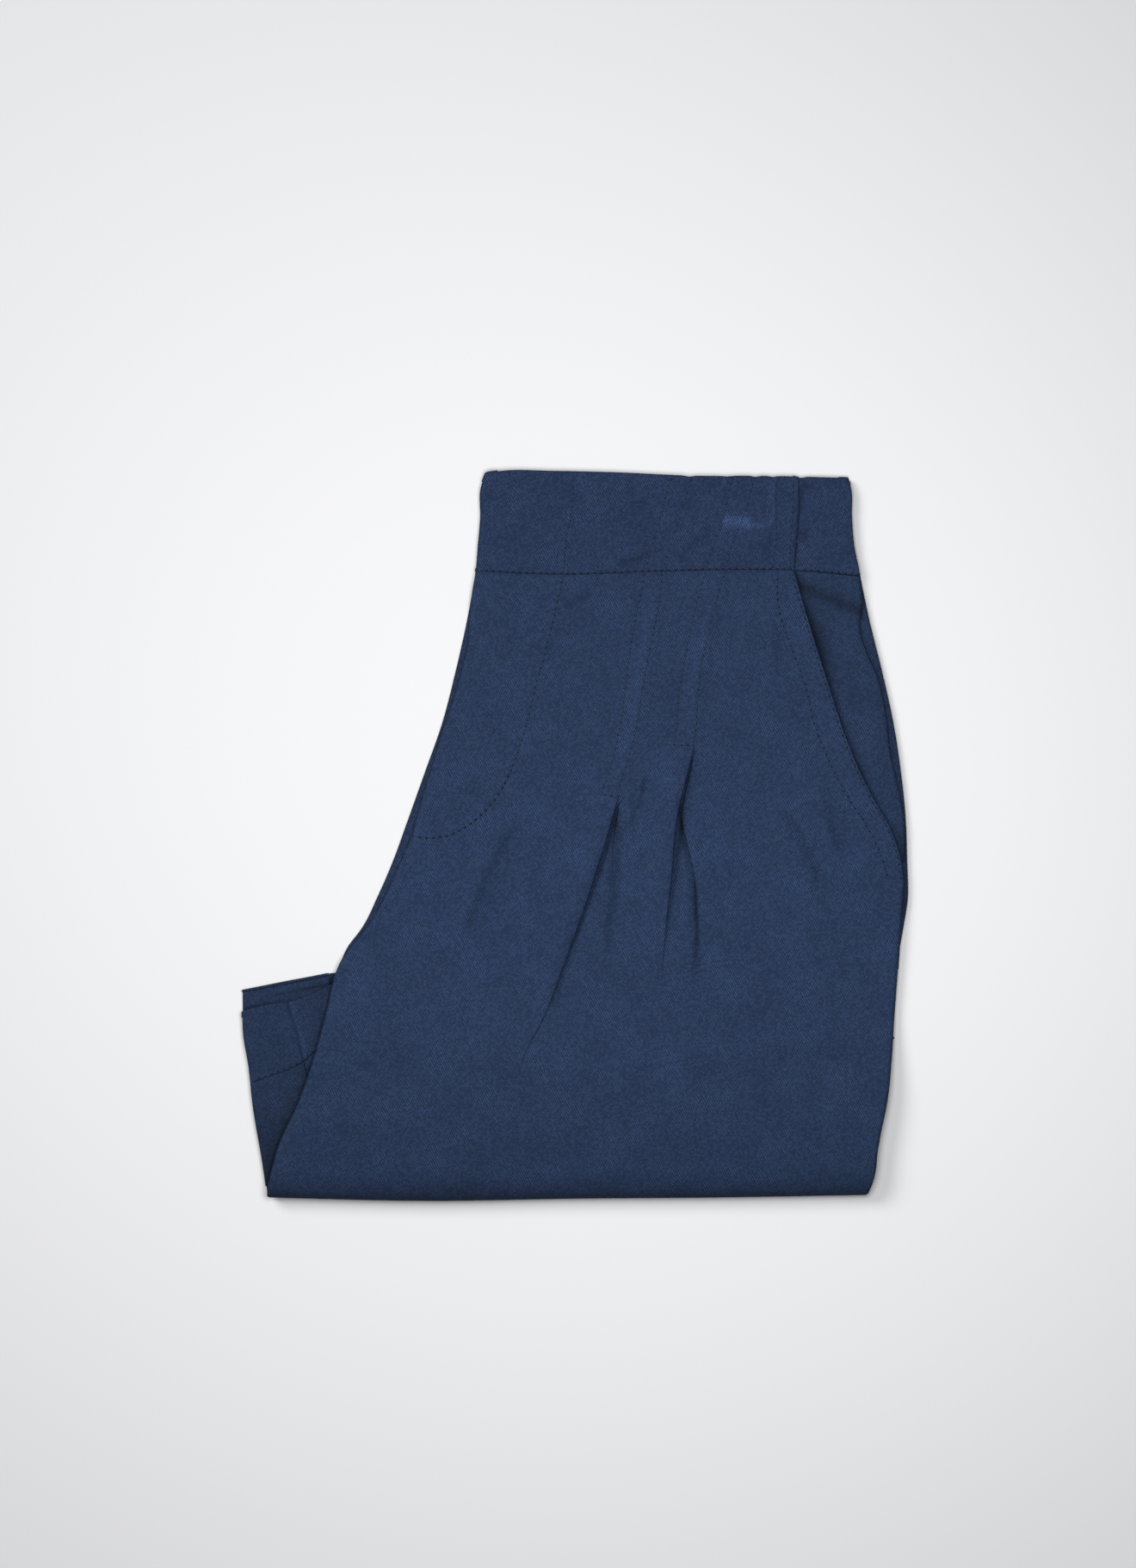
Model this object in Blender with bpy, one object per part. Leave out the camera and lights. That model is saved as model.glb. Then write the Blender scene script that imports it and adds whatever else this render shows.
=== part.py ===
"""High-waisted pleated shorts of navy cotton twill, folded in half lengthwise, legs turned up behind, laid flat."""

import math

import bmesh
import bpy
import numpy as np

MM = 0.001

# Cloth and stacking, in millimetres. The floor is z = 0 and the left front faces up.
WALL = 1.2
BAND_WALL = 1.5
GAP = 0.3
CORE_CLEARANCE = 0.45
BODY_HEIGHT = 6.0
SEAM_HEIGHT = 6.5
BAND_HEIGHT = 7.0
LEG_RISE = 6.0
LEG_RAMP = 44.0
ROLL_RISE = 1.5
ROLL_DEPTH = 14.0
FOLD_CENTRE = -163.0

BAND_DEPTH = 48.0

# Places up the garment where one outline or layer gives way to the next
BAND_START = 128.0
BAND_MIDDLE_START = 130.0
BODY_END = -67.0
HEM_TOP = -76.0
PLATES_TOP = -64.0
PLATES_END = -162.0
FRONT_LEG_END = -126.0
SIDE_STRIP_END = -84.0
BEARER_END = -13.0
POCKET_END = -18.0
BEARER_RIGHT_END = 4.0

# Sewn sizes
POCKET_UNDERLAP = 10.0
POCKET_GAPE = 1.2
BAND_UNDERLAP = 9.0
LEG_UNDERLAP = 12.0
SIDE_STRIP_UNDERLAP = 6.0
FRONT_TUCKS = ("tuck1", "tuck2")

# Heights of the layers that show at the left, where both legs' hems stick out
LEFT_LEG_TOP = 2.7
RIGHT_LEG_BOTTOM = 3.0
RIGHT_LEG_TOP = 5.6
SIDE_STRIP_BOTTOM = 1.5
SIDE_STRIP_TOP = 2.7
BEARER_DROP = 1.65
UNDER_RECESS = 0.4

# Edges roll over this radius: the half height of a tube lying flat
FRONT_CURL = 2.4
SIDE_CURL = 2.2
POCKET_LIP = 0.3
BAND_CURL = 2.8
CURL_COLUMNS = (0.0, 0.9, 2.2, 4.5, 8.0)

TWILL = (0.028, 0.046, 0.096)
TWILL_SHADE = (0.022, 0.037, 0.080)


def table(columns, *rows):
    """One array for each named column, from rows of numbers."""
    values = np.array(rows, dtype=float)
    return dict(zip(columns.split(), values.T))


# Each row is a section across the left front: where its edges, tuck stitching and tuck folds cross it
SECTIONS = table(
    "y left stitch1 tuck1 stitch2 tuck2 right",
    (-177.0, -149.9, -42.0, -35.0, 24.0, 33.0, 139.6),
    (-170.0, -148.9, -41.0, -34.0, 24.5, 33.5, 143.8),
    (-150.0, -144.0, -39.0, -32.0, 25.5, 34.5, 147.8),
    (-130.0, -134.9, -36.0, -29.0, 27.0, 36.0, 152.0),
    (-107.0, -126.9, -32.0, -24.5, 29.0, 38.0, 154.6),
    (-86.0, -121.2, -22.0, -14.0, 31.0, 40.0, 156.2),
    (-62.0, -114.6, -13.0, -4.8, 34.0, 42.8, 158.0),
    (-40.0, -98.4, -5.0, 3.3, 36.0, 44.9, 159.6),
    (-18.0, -87.5, 2.0, 10.5, 38.5, 47.5, 160.2),
    (2.0, -79.2, 7.0, 16.6, 40.0, 49.1, 154.8),
    (18.5, -74.6, 12.0, 21.0, 43.5, 52.2, 145.6),
    (31.0, -70.7, 16.6, 23.9, 46.4, 55.2, 139.3),
    (45.0, -66.6, 20.3, 28.3, 48.7, 58.3, 133.4),
    (75.0, -56.8, 25.2, 33.6, 51.6, 60.7, 123.4),
    (94.0, -52.3, 27.5, 37.3, 55.2, 64.2, 117.3),
    (114.0, -50.9, 31.3, 41.0, 59.6, 68.8, 111.3),
    (129.0, -48.4, 34.4, 42.6, 63.8, 73.3, 107.1),
)

# How far the tuck folds stand up: sewn flat above, open and full below, dying out down the leg
TUCK_HEIGHTS = table(
    "y tuck1 tuck2",
    (-120.0, 0.0, 0.0),
    (-85.0, 0.8, 0.0),
    (-62.0, 1.4, 0.3),
    (-40.0, 1.8, 1.0),
    (-20.0, 2.1, 1.6),
    (5.0, 2.2, 2.2),
    (18.0, 1.2, 2.3),
    (40.0, 1.0, 1.9),
    (50.0, 1.0, 1.1),
    (129.0, 0.8, 0.8),
)

# The whole outline: the fold at centre front on the left, the side seams on the right
LEG_OUTLINE = table(
    "y left side",
    (-177.0, -150.3, 139.6),
    (-163.0, -152.2, 145.4),
    (-130.0, -157.6, 152.0),
    (-113.0, -159.4, 154.1),
    (-96.0, -162.1, 156.2),
    (-86.0, -162.4, 157.3),
    (-76.0, -162.5, 158.2),
)
BODY_OUTLINE = table(
    "y left side",
    (-67.0, -116.4, 159.7),
    (-54.0, -110.8, 160.6),
    (-46.0, -104.7, 161.2),
    (-29.0, -96.1, 162.8),
    (-12.0, -88.8, 162.4),
    (5.0, -82.6, 161.9),
    (30.0, -73.7, 159.5),
    (55.0, -64.9, 155.7),
    (80.0, -58.4, 150.2),
    (105.0, -52.8, 144.0),
    (127.0, -48.8, 139.4),
)
BAND_OUTLINE = table(
    "y left side",
    (129.0, -48.4, 139.0),
    (141.0, -47.5, 136.5),
    (155.0, -46.3, 135.3),
    (170.0, -46.0, 134.7),
    (177.5, -43.4, 132.0),
)

# The edge line of the pocket bearer, inside the side seam
BEARER_EDGE = table(
    "y x",
    (-14.0, 161.0),
    (5.0, 161.0),
    (19.0, 159.0),
    (41.0, 154.1),
    (59.0, 152.0),
    (79.0, 146.5),
    (96.0, 139.6),
    (127.0, 136.4),
)

# Lines across the garment
WAIST_SEAM = table("x y", (-50, 128.9), (-6, 127.3), (40, 128.7), (80, 129.6), (110, 129.2), (140, 126.6))
BAND_TOP = table(
    "x y", (-47, 175.2), (-43, 177.0), (-36, 178.0), (-10, 178.0), (20, 177.3), (60, 175.6), (90, 175.6), (136, 174.6)
)
BOTTOM_FOLD = table("x y", (-151, -176.4), (-70, -178.1), (0, -177.0), (72, -176.4), (142, -175.2))
LEFT_HEM = table(
    "x y", (-163, -75.9), (-149, -72.7), (-129, -69), (-116, -67), (-71, -75), (47, -94), (104, -101), (160, -98.6)
)
LEFT_HEM_STITCH = table("x y", (-163, -112.0), (-110, -105.5), (-60, -110.0), (47, -129.0), (160, -134.5))
RIGHT_HEM = table("x y", (-163, -85.9), (-151, -82.5), (-139, -80.9), (-127, -76.4), (-118, -72.2), (-100, -71.0))
RIGHT_HEM_STITCH = table("x y", (-163, -122.0), (-149, -117.5), (-133, -110.5), (-125, -103.7), (-100, -100.0))
INSEAM = table("y x", (-172, -118.0), (-140, -124.5), (-122, -129.4), (-110, -132.5), (-94, -136.4), (-80, -140.9))
BAND_END = table("y x", (129, 107.1), (145, 108.4), (160, 109.5), (177, 109.0))


def read(rows, key, column, value):
    """The column's value at a value of the key column, on a smooth curve through the rows."""
    keys = rows[key]
    values = rows[column]
    value = min(max(value, keys[0]), keys[-1])
    slopes = np.gradient(values, keys)
    n = int(np.clip(np.searchsorted(keys, value) - 1, 0, len(keys) - 2))
    step = keys[n + 1] - keys[n]
    t = (value - keys[n]) / step
    start = values[n] * (1 + 2 * t) * (1 - t) ** 2 + slopes[n] * step * t * (1 - t) ** 2
    end = values[n + 1] * t * t * (3 - 2 * t) + slopes[n + 1] * step * t * t * (t - 1)
    return float(start + end)


def line(rows, x):
    """The height on the page of a line across the garment."""
    return read(rows, "x", "y", x)


def edge(rows, y):
    """The place of an edge that runs down the garment."""
    return read(rows, "y", "x", y)


def outline(column, y):
    """The whole garment's left or side edge: folded legs, then body, then band."""
    if y > BAND_START:
        return read(BAND_OUTLINE, "y", column, y)
    if y > BODY_END:
        return read(BODY_OUTLINE, "y", column, y)
    return read(LEG_OUTLINE, "y", column, y)


def leg_left(y):
    """The left edge of the turned-up legs."""
    return outline("left", min(y, HEM_TOP))


def ease(t):
    """0 to 1, starting and ending softly."""
    t = min(max(t, 0.0), 1.0)
    return t * t * (3 - 2 * t)


def spread(start, end, steps):
    """Even places from start to end, both included."""
    return [start + (end - start) * n / steps for n in range(steps + 1)]


def top_height(x, y):
    """The height of the left front before its tucks: low on the body, higher where the legs lie under it."""
    seam = ease((y - 95.0) / 34.0) * (SEAM_HEIGHT - BODY_HEIGHT)
    legs = ease((line(LEFT_HEM, x) - 6.0 + LEG_RAMP / 2 - y) / LEG_RAMP) * LEG_RISE
    roll = ease((-120.0 - y) / 40.0) * ROLL_RISE
    return BODY_HEIGHT + seam + legs + roll


def gape(y, distance):
    """How far the pocket's edge stands away from the bearer, at a distance in from that edge."""
    along = ease((y + 5.0) / 50.0) * ease((126.0 - y) / 30.0)
    return POCKET_GAPE * along * ease(1 - distance / 16.0)


def curl(distance, radius):
    """How far a rolled edge has dropped at a distance in from it."""
    if distance >= radius:
        return 0.0
    return radius * (1 - math.sqrt(1 - (1 - distance / radius) ** 2))


def normals(points):
    """Unit normals of a sheet of points, pointing out where columns run right and rows run up."""
    across = np.gradient(points, axis=0)
    along = np.gradient(points, axis=1)
    out = np.cross(across, along)
    return out / np.linalg.norm(out, axis=2, keepdims=True)


def material(name, colour):
    """A matt woven cotton."""
    cloth = bpy.data.materials.new(name)
    cloth.use_nodes = True
    shader = cloth.node_tree.nodes["Principled BSDF"]
    shader.inputs["Base Color"].default_value = (*colour, 1.0)
    shader.inputs["Roughness"].default_value = 0.9
    shader.inputs["Metallic"].default_value = 0.0
    return cloth


def solid(name, levels, colour):
    """A closed body from sheets of points in millimetres, lowest first, each an array by column and row."""
    columns = levels[0].shape[0] - 1
    rows = levels[0].shape[1] - 1
    steps = len(levels) - 1
    build = bmesh.new()
    bmesh.ops.create_grid(build, x_segments=columns, y_segments=rows, size=0.5)
    flat = build.faces[:] + build.edges[:]
    lifted = bmesh.ops.extrude_face_region(build, geom=flat, use_keep_orig=True)
    top = [item for item in lifted["geom"] if isinstance(item, bmesh.types.BMVert)]
    bmesh.ops.translate(build, verts=top, vec=(0, 0, 1))
    for step in range(1, steps):
        everything = build.verts[:] + build.edges[:] + build.faces[:]
        bmesh.ops.bisect_plane(
            build, geom=everything, dist=1e-7, plane_co=(0, 0, step / steps), plane_no=(0, 0, 1)
        )
    for vertex in build.verts:
        i = round((vertex.co.x + 0.5) * columns)
        j = round((vertex.co.y + 0.5) * rows)
        k = round(vertex.co.z * steps)
        vertex.co = levels[k][i, j] * MM
    mesh = bpy.data.meshes.new(name)
    build.to_mesh(mesh)
    build.free()
    mesh.materials.append(material(name, colour))
    mesh.shade_smooth()
    mesh.set_sharp_from_angle(angle=math.radians(40))
    body = bpy.data.objects.new(name, mesh)
    garment.objects.link(body)
    return body


def wall(name, outer, thickness=WALL, relief=None, colour=TWILL):
    """A cloth wall: the outer sheet, with its relief, over a plain inner sheet one thickness inside it."""
    inner = outer - normals(outer) * thickness
    shown = outer if relief is None else outer + relief
    return solid(name, [inner, shown], colour)


def tuck_profile(height):
    """Outer points over a tuck from its stitching to past its fold: sideways and upward moves, column by column."""
    return (
        (0.0, 0.2 * height),
        (0.0, 0.75 * height),
        (0.15 * height, height),
        (-0.45 * height, 0.1 * height),
        (0.0, -0.2 * height),
    )


def front_columns(section):
    """Places of the left front's columns across one section, and the first column of each tuck."""
    left = section["left"]
    right = section["right"]
    places = [left + step for step in CURL_COLUMNS]
    places += spread(places[-1], section["stitch1"], 5)[1:-1]
    starts = []
    for stitch, fold in (("stitch1", "tuck1"), ("stitch2", "tuck2")):
        starts.append(len(places))
        middle = (section[stitch] + section[fold]) / 2
        places += [section[stitch], middle, section[fold] - 0.4, section[fold] + 0.5, section[fold] + 3.2]
        if fold == "tuck1":
            places += spread(places[-1], section["stitch2"], 3)[1:-1]
    places += spread(places[-1], right - CURL_COLUMNS[-1], 5)[1:-1]
    places += [right - step for step in reversed(CURL_COLUMNS)]
    return places, starts


def front_left():
    """The left front: hem line on the underside, round the bottom fold and up to the waist seam."""
    top_rows = 24
    fold_rows = 6
    under_rows = 3
    stations = [("under", n / under_rows) for n in range(under_rows)]
    stations += [("fold", n / fold_rows) for n in range(fold_rows)]
    stations += [("top", n / top_rows) for n in range(top_rows + 1)]
    columns = len(front_columns({name: value[0] for name, value in SECTIONS.items()})[0])
    sheet = np.zeros((columns, len(stations), 3))
    relief = np.zeros_like(sheet)
    for j, (zone, part) in enumerate(stations):
        for i in range(columns):
            x = 0.0
            for _ in range(2):
                y, facing, height = front_station(zone, part, x)
                section = {name: read(SECTIONS, "y", name, y) for name in SECTIONS if name != "y"}
                under = (1 - facing) / 2
                section["left"] += under * (leg_left(y) - section["left"])
                section["right"] += under * (outline("side", y) - section["right"])
                places, starts = front_columns(section)
                x = places[i]
            inward = min(i, 4)
            radius = FRONT_CURL
            if i > columns // 2:
                inward = min(columns - 1 - i, 4)
                radius = SIDE_CURL + (POCKET_LIP - SIDE_CURL) * ease((y + 40.0) / 35.0) * max(facing, 0.0)
            radius *= 0.45 + 0.55 * abs(facing)
            drop = curl(CURL_COLUMNS[inward], radius)
            if zone == "top":
                height += gape(y, places[-1] - x)
            slope = math.sqrt(max(1 - facing * facing, 0.0))
            sheet[i, j] = (x, y + drop * slope, height - drop * facing)
            if zone == "top":
                for tuck, start in zip(FRONT_TUCKS, starts):
                    if start <= i < start + 5:
                        sideways, up = tuck_profile(read(TUCK_HEIGHTS, "y", tuck, y))[i - start]
                        relief[i, j] = (sideways, 0.0, up)
    wall("front_left", sheet, relief=relief)


def front_station(zone, part, x):
    """Where a row of the left front lies at x: its place, the upward part of its normal and its height."""
    edge_y = line(BOTTOM_FOLD, x)
    turn_y = edge_y + ROLL_DEPTH
    roll_top = top_height(x, turn_y)
    if zone == "top":
        seam_y = line(WAIST_SEAM, x) - GAP
        y = turn_y + (seam_y - turn_y) * part
        return y, 1.0, top_height(x, y)
    if zone == "fold":
        angle = math.pi * (part - 0.5)
        y = turn_y - ROLL_DEPTH * math.cos(angle)
        return y, math.sin(angle), roll_top / 2 * (1 + math.sin(angle))
    hem_y = line(LEFT_HEM_STITCH, x) - GAP
    return hem_y + (turn_y - hem_y) * part, -1.0, 0.0


def strip(columns, rows, place):
    """A sheet of points from a function of the two fractions across and up."""
    sheet = np.zeros((columns + 1, rows + 1, 3))
    for i in range(columns + 1):
        for j in range(rows + 1):
            sheet[i, j] = place(i / columns, j / rows)
    return sheet


def curled(sheet, left=0.0, right=0.0, top=0.0, up=1.0):
    """Rolls the edges of a level sheet over by these radii, away from the side that shows."""
    rolled = sheet.copy()
    for i in range(sheet.shape[0]):
        for j in range(sheet.shape[1]):
            x, y, _ = sheet[i, j]
            drops = (
                curl(abs(x - sheet[0, j, 0]), left) if left else 0.0,
                curl(abs(sheet[-1, j, 0] - x), right) if right else 0.0,
                curl(abs(sheet[i, -1, 1] - y), top) if top else 0.0,
            )
            rolled[i, j, 2] -= up * max(drops)
    return rolled


def edged(start, end, steps, left=True, right=True):
    """Places across a piece, close together at each edge that is rolled."""
    first = [start + step for step in CURL_COLUMNS] if left else [start]
    last = [end - step for step in reversed(CURL_COLUMNS)] if right else [end]
    return first + spread(first[-1], last[0], steps)[1:-1] + last


def pick(values, part):
    """The value at a fraction along a list, which holds that fraction exactly."""
    return values[round(part * (len(values) - 1))]


def pocket_bearer_left():
    """The panel that shows behind the slanted pocket opening."""

    def place(u, v):
        y = BEARER_END + (BAND_START - BEARER_END) * v
        start = read(SECTIONS, "y", "right", y) - POCKET_UNDERLAP
        end = edge(BEARER_EDGE, y)
        x = pick(edged(start, end, 2, left=False), u)
        y += (line(WAIST_SEAM, x) - GAP - BAND_START) * v
        return x, y, top_height(x, y) - BEARER_DROP

    sheet = curled(strip(6, 10, place), right=0.5)
    wall("pocket_bearer_left", sheet, colour=TWILL_SHADE)


def back_left():
    """The left back where it turns round the side, a strip outside the bearer and the front."""

    def place(u, v):
        y = SIDE_STRIP_END + (BAND_START - 2.5 - SIDE_STRIP_END) * v
        end = outline("side", y)
        start = end - 2 * SIDE_STRIP_UNDERLAP
        return start + (end - start) * u, y

    rings = ((0.6, SIDE_STRIP_BOTTOM), (0.0, SIDE_STRIP_BOTTOM + 0.5), (0.0, SIDE_STRIP_TOP - 0.5), (0.6, SIDE_STRIP_TOP))
    levels = []
    for inset, height in rings:
        sheet = strip(3, 20, lambda u, v: (*place(u, v), height))
        sheet[-1, :, 0] -= inset
        levels.append(sheet)
    solid("back_left", levels, TWILL_SHADE)


def waistband(side, z, up, wall_side):
    """The front band of one side, seam line to top edge, with its edge rolled at centre front."""

    def place(u, v):
        y_mid = BAND_MIDDLE_START + BAND_DEPTH * v
        start = outline("left", y_mid)
        end = edge(BAND_END, y_mid)
        x = pick(edged(start, end, 9, right=False), u)
        low = line(WAIST_SEAM, x) + GAP / 2
        high = line(BAND_TOP, x)
        return x, pick(edged(low, high, 3, left=False), v), z

    sheet = curled(strip(13, 7, place), left=BAND_CURL, top=0.5, up=up)
    if up < 0:
        sheet = sheet[:, ::-1]
    wall(side, sheet, thickness=BAND_WALL, colour=wall_side)


def waistband_side(side, z, up, start_offset, wall_side):
    """The band's side piece, under the end of the front band and out to the side seam."""

    def place(u, v):
        y_mid = BAND_MIDDLE_START + BAND_DEPTH * v
        start = edge(BAND_END, y_mid) + start_offset
        end = outline("side", y_mid)
        x = pick(edged(start, end, 2, left=False), u)
        low = line(WAIST_SEAM, x) + GAP / 2
        high = line(BAND_TOP, x)
        return x, pick(edged(low, high, 3, left=False), v), z

    sheet = curled(strip(6, 7, place), right=1.0, top=0.5, up=up)
    if up < 0:
        sheet = sheet[:, ::-1]
    wall(side, sheet, thickness=WALL, colour=wall_side)


def front_right():
    """The right front, face down: the flat side that the folded body rests on, rolled up at centre front."""

    def place(u, v):
        y = BODY_END + (BAND_START - BODY_END) * v
        for _ in range(2):
            start = outline("left", min(max(y, BODY_END + 0.1), BAND_START))
            end = read(SECTIONS, "y", "right", max(y, POCKET_END))
            x = pick(edged(start, end, 9, right=False), u)
            low = line(LEFT_HEM, x) + 3 * GAP
            high = line(WAIST_SEAM, x) - GAP
            y = low + (high - low) * v
        return x, y, 0.0

    sheet = curled(strip(13, 16, place), left=FRONT_CURL, up=-1.0)
    wall("front_right", sheet[:, ::-1])


def pocket_bearer_right():
    """The right pocket's bearer, seen from below beyond the pocket's edge."""

    def place(u, v):
        y = BEARER_RIGHT_END + (BAND_START - BEARER_RIGHT_END) * v
        start = read(SECTIONS, "y", "right", y) + 2 * GAP
        end = outline("side", y) - 0.4
        x = start + (end - start) * u
        return x, y + (line(WAIST_SEAM, x) - GAP - BAND_START) * v, UNDER_RECESS

    wall("pocket_bearer_right", strip(3, 10, place)[:, ::-1], thickness=WALL - UNDER_RECESS, colour=TWILL_SHADE)


def leg_plate(name, columns, rows, place, colour):
    """A flattened leg tube: two layers of cloth with a rounded edge on the left."""
    middle = (RIGHT_LEG_BOTTOM + RIGHT_LEG_TOP) / 2
    rings = ((0.9, RIGHT_LEG_BOTTOM), (0.0, middle - 0.6), (0.0, middle + 0.6), (0.9, RIGHT_LEG_TOP))
    levels = []
    for inset, height in rings:
        sheet = strip(columns, rows, lambda u, v: (*place(u, v), height))
        sheet[0, :, 0] += inset
        levels.append(sheet)
    solid(name, levels, colour)


def under_front(y):
    """How far right the right leg's plates reach, under the left front's edge."""
    return read(SECTIONS, "y", "left", y) + LEG_UNDERLAP


def right_leg():
    """The right leg where it sticks out at the left: its hem and the back and front beside the inseam."""

    def hem(u, v):
        y = -110.0 + 30.0 * v
        for _ in range(2):
            start = leg_left(y)
            x = start + (under_front(y) - start) * u
            low = line(RIGHT_HEM_STITCH, x) + GAP / 2
            y = low + (line(RIGHT_HEM, x) - low) * v
        return x, y

    def back(u, v):
        y = -140.0
        for _ in range(3):
            start = outline("left", y)
            x = start + (edge(INSEAM, y) - GAP / 2 - start) * u
            y = PLATES_END + (line(RIGHT_HEM_STITCH, x) - GAP / 2 - PLATES_END) * v
        return min(x, under_front(y)), y

    def front(u, v):
        y = -120.0
        for _ in range(3):
            start = edge(INSEAM, y) + GAP / 2
            x = start + (under_front(y) - start) * u
            y = FRONT_LEG_END + (line(RIGHT_HEM_STITCH, x) - 2 * GAP - FRONT_LEG_END) * v
        return x, y

    leg_plate("hem_right", 6, 4, hem, TWILL_SHADE)
    leg_plate("back_right_leg", 5, 6, back, TWILL_SHADE)
    leg_plate("front_right_leg", 2, 3, front, TWILL_SHADE)


def hem_left():
    """The left leg's hem on the underside, and the turned edge of it that shows above the right leg's hem."""

    def place(u, v):
        y = -95.0
        for _ in range(2):
            start = leg_left(y)
            reach = under_front(min(max(y, FRONT_LEG_END), BODY_END)) - GAP
            end = outline("side", y)
            places = spread(start, reach, 4) + spread(reach + 1.0, end, 12)
            x = pick(places, u)
            low = line(LEFT_HEM_STITCH, x) + GAP
            y = low + (line(LEFT_HEM, x) - low) * v
        return x, y

    columns = 17
    thick = 4
    rings = ((0.9, 0.0), (0.0, 0.45), (0.0, 0.75), (0.9, 1.0))
    levels = []
    for inset, part in rings:
        sheet = strip(columns, 3, lambda u, v: (*place(u, v), 0.0))
        sheet[0, :, 0] += inset
        sheet[: thick + 1, :, 2] = LEFT_LEG_TOP * part
        sheet[thick + 1 :, :, 2] = WALL * part
        levels.append(sheet)
    solid("hem_left", levels, TWILL_SHADE)


def core_rows():
    """Places up the garment where the hidden layers are shaped, each with its angle round the bottom fold."""
    reach = ROLL_DEPTH - WALL - 5 * GAP
    turns = [math.pi / 2 * n / 4 for n in range(5)]
    rows = [(FOLD_CENTRE - reach * math.cos(turn), turn) for turn in turns]
    rows += [(y, math.pi / 2) for y in (-150.0, -135.0, -120.0, -106.0, -94.0, -87.5, -84.5, -74.0)]
    rows += [(y, math.pi / 2) for y in (-64.5, -63.0, -54.0, -45.0, -20.0, 5.0, 30.0, 55.0, 80.0, 104.0, 126.0)]
    rows += [(y, math.pi / 2) for y in (130.3, 145.0, 160.0, 173.5)]
    return rows


def core_columns(y):
    """Places across the hidden layers at y: its ends, past the right leg's plates, and at the pocket bearer."""
    if y > BAND_START:
        left = outline("left", y) + 2.2
        right = outline("side", y) - 1.8
        under = edge(BAND_END, y) - BAND_UNDERLAP - 1.2
    else:
        left = read(SECTIONS, "y", "left", y) + (2.2 if y > PLATES_TOP else 2.1)
        right = read(SECTIONS, "y", "right", y) - 1.1
        under = right - 20.0
    if SIDE_STRIP_END - 2.0 < y < BAND_START:
        right = outline("side", y) - 2 * SIDE_STRIP_UNDERLAP - 2 * GAP
        under = min(read(SECTIONS, "y", "right", y) - POCKET_UNDERLAP, right - 8.0)
    plates = under_front(max(y, PLATES_END)) + GAP
    places = [left, left + 3.5, plates, plates + 1.2]
    places += spread(plates + 1.2, under - 1.4, 6)[1:]
    places += [under - 0.4]
    places += spread(under - 0.4, right - 3.5, 2)[1:]
    return places + [right]


def core_heights(x, y, column, angle):
    """The lowest and highest of the hidden layers at a place, inside everything that wraps them."""
    past_pocket = column > 9
    if y > BAND_START:
        low = BAND_WALL + GAP
        high = BAND_HEIGHT - BAND_WALL - CORE_CLEARANCE
        if past_pocket:
            high -= GAP + WALL
        return low, high
    low = WALL + GAP
    high = top_height(x, y) - WALL - CORE_CLEARANCE
    if past_pocket and y > POCKET_END - 22.0:
        high = top_height(x, y) - BEARER_DROP - WALL - GAP
    if column < 3 and y < PLATES_TOP and angle > 1.5:
        low = RIGHT_LEG_TOP + GAP
    return low, high


def folded_core():
    """All the layers between: both backs and the hidden stretches of the legs, as one body with layered edges."""
    rings = ((0.0, 2.6), (0.12, 1.5), (0.38, 0.0), (0.5, 0.9), (0.62, 0.0), (0.88, 1.5), (1.0, 2.6))
    rows = core_rows()
    columns = len(core_columns(0.0))
    levels = []
    for part, inset in rings:
        sheet = np.zeros((columns, len(rows), 3))
        for j, (y, angle) in enumerate(rows):
            places = core_columns(y)
            for i, x in enumerate(places):
                low, high = core_heights(x, y, i, angle)
                middle = (low + high) / 2
                half = (high - low) / 2 * max(math.sin(angle), 0.2)
                place = y
                if y <= FOLD_CENTRE:
                    place += line(BOTTOM_FOLD, x) + ROLL_DEPTH - FOLD_CENTRE
                tuck_in = 4.0 * math.cos(angle)
                if i == 0:
                    x += tuck_in + (inset if y > PLATES_TOP or part > 0.5 else inset / 2)
                if i == columns - 1:
                    x -= tuck_in + inset
                if j == 0:
                    place += inset / 2
                if j == len(rows) - 1:
                    place -= inset / 3
                sheet[i, j] = (x, place, middle + half * (2 * part - 1))
        levels.append(sheet)
    solid("folded_core", levels, TWILL_SHADE)


def main():
    front_left()
    pocket_bearer_left()
    back_left()
    waistband("waistband_front_left", BAND_HEIGHT, 1.0, TWILL)
    waistband_side("waistband_side_left", BAND_HEIGHT - BAND_WALL - GAP, 1.0, -BAND_UNDERLAP, TWILL_SHADE)
    front_right()
    pocket_bearer_right()
    waistband("waistband_front_right", 0.0, -1.0, TWILL)
    waistband_side("waistband_side_right", UNDER_RECESS, -1.0, GAP, TWILL_SHADE)
    right_leg()
    hem_left()
    folded_core()


for old in list(bpy.data.objects):
    bpy.data.objects.remove(old)
garment = bpy.data.collections.new("folded_shorts")
bpy.context.scene.collection.children.link(garment)
main()
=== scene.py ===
import math
import bpy
import numpy as np
from mathutils.bvhtree import BVHTree
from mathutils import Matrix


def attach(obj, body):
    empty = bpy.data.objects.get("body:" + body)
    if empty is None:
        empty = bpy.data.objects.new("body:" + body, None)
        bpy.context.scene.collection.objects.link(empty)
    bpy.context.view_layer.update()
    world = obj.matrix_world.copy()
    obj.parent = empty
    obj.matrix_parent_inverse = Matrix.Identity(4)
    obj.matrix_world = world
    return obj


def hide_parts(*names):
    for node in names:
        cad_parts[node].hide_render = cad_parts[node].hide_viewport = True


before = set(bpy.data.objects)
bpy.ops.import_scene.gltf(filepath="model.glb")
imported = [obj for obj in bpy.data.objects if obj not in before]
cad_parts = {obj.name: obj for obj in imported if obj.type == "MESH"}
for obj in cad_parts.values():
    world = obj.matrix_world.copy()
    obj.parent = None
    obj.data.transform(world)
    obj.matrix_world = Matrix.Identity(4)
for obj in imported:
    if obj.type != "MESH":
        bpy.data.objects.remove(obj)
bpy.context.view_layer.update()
mm = 0.001


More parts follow.
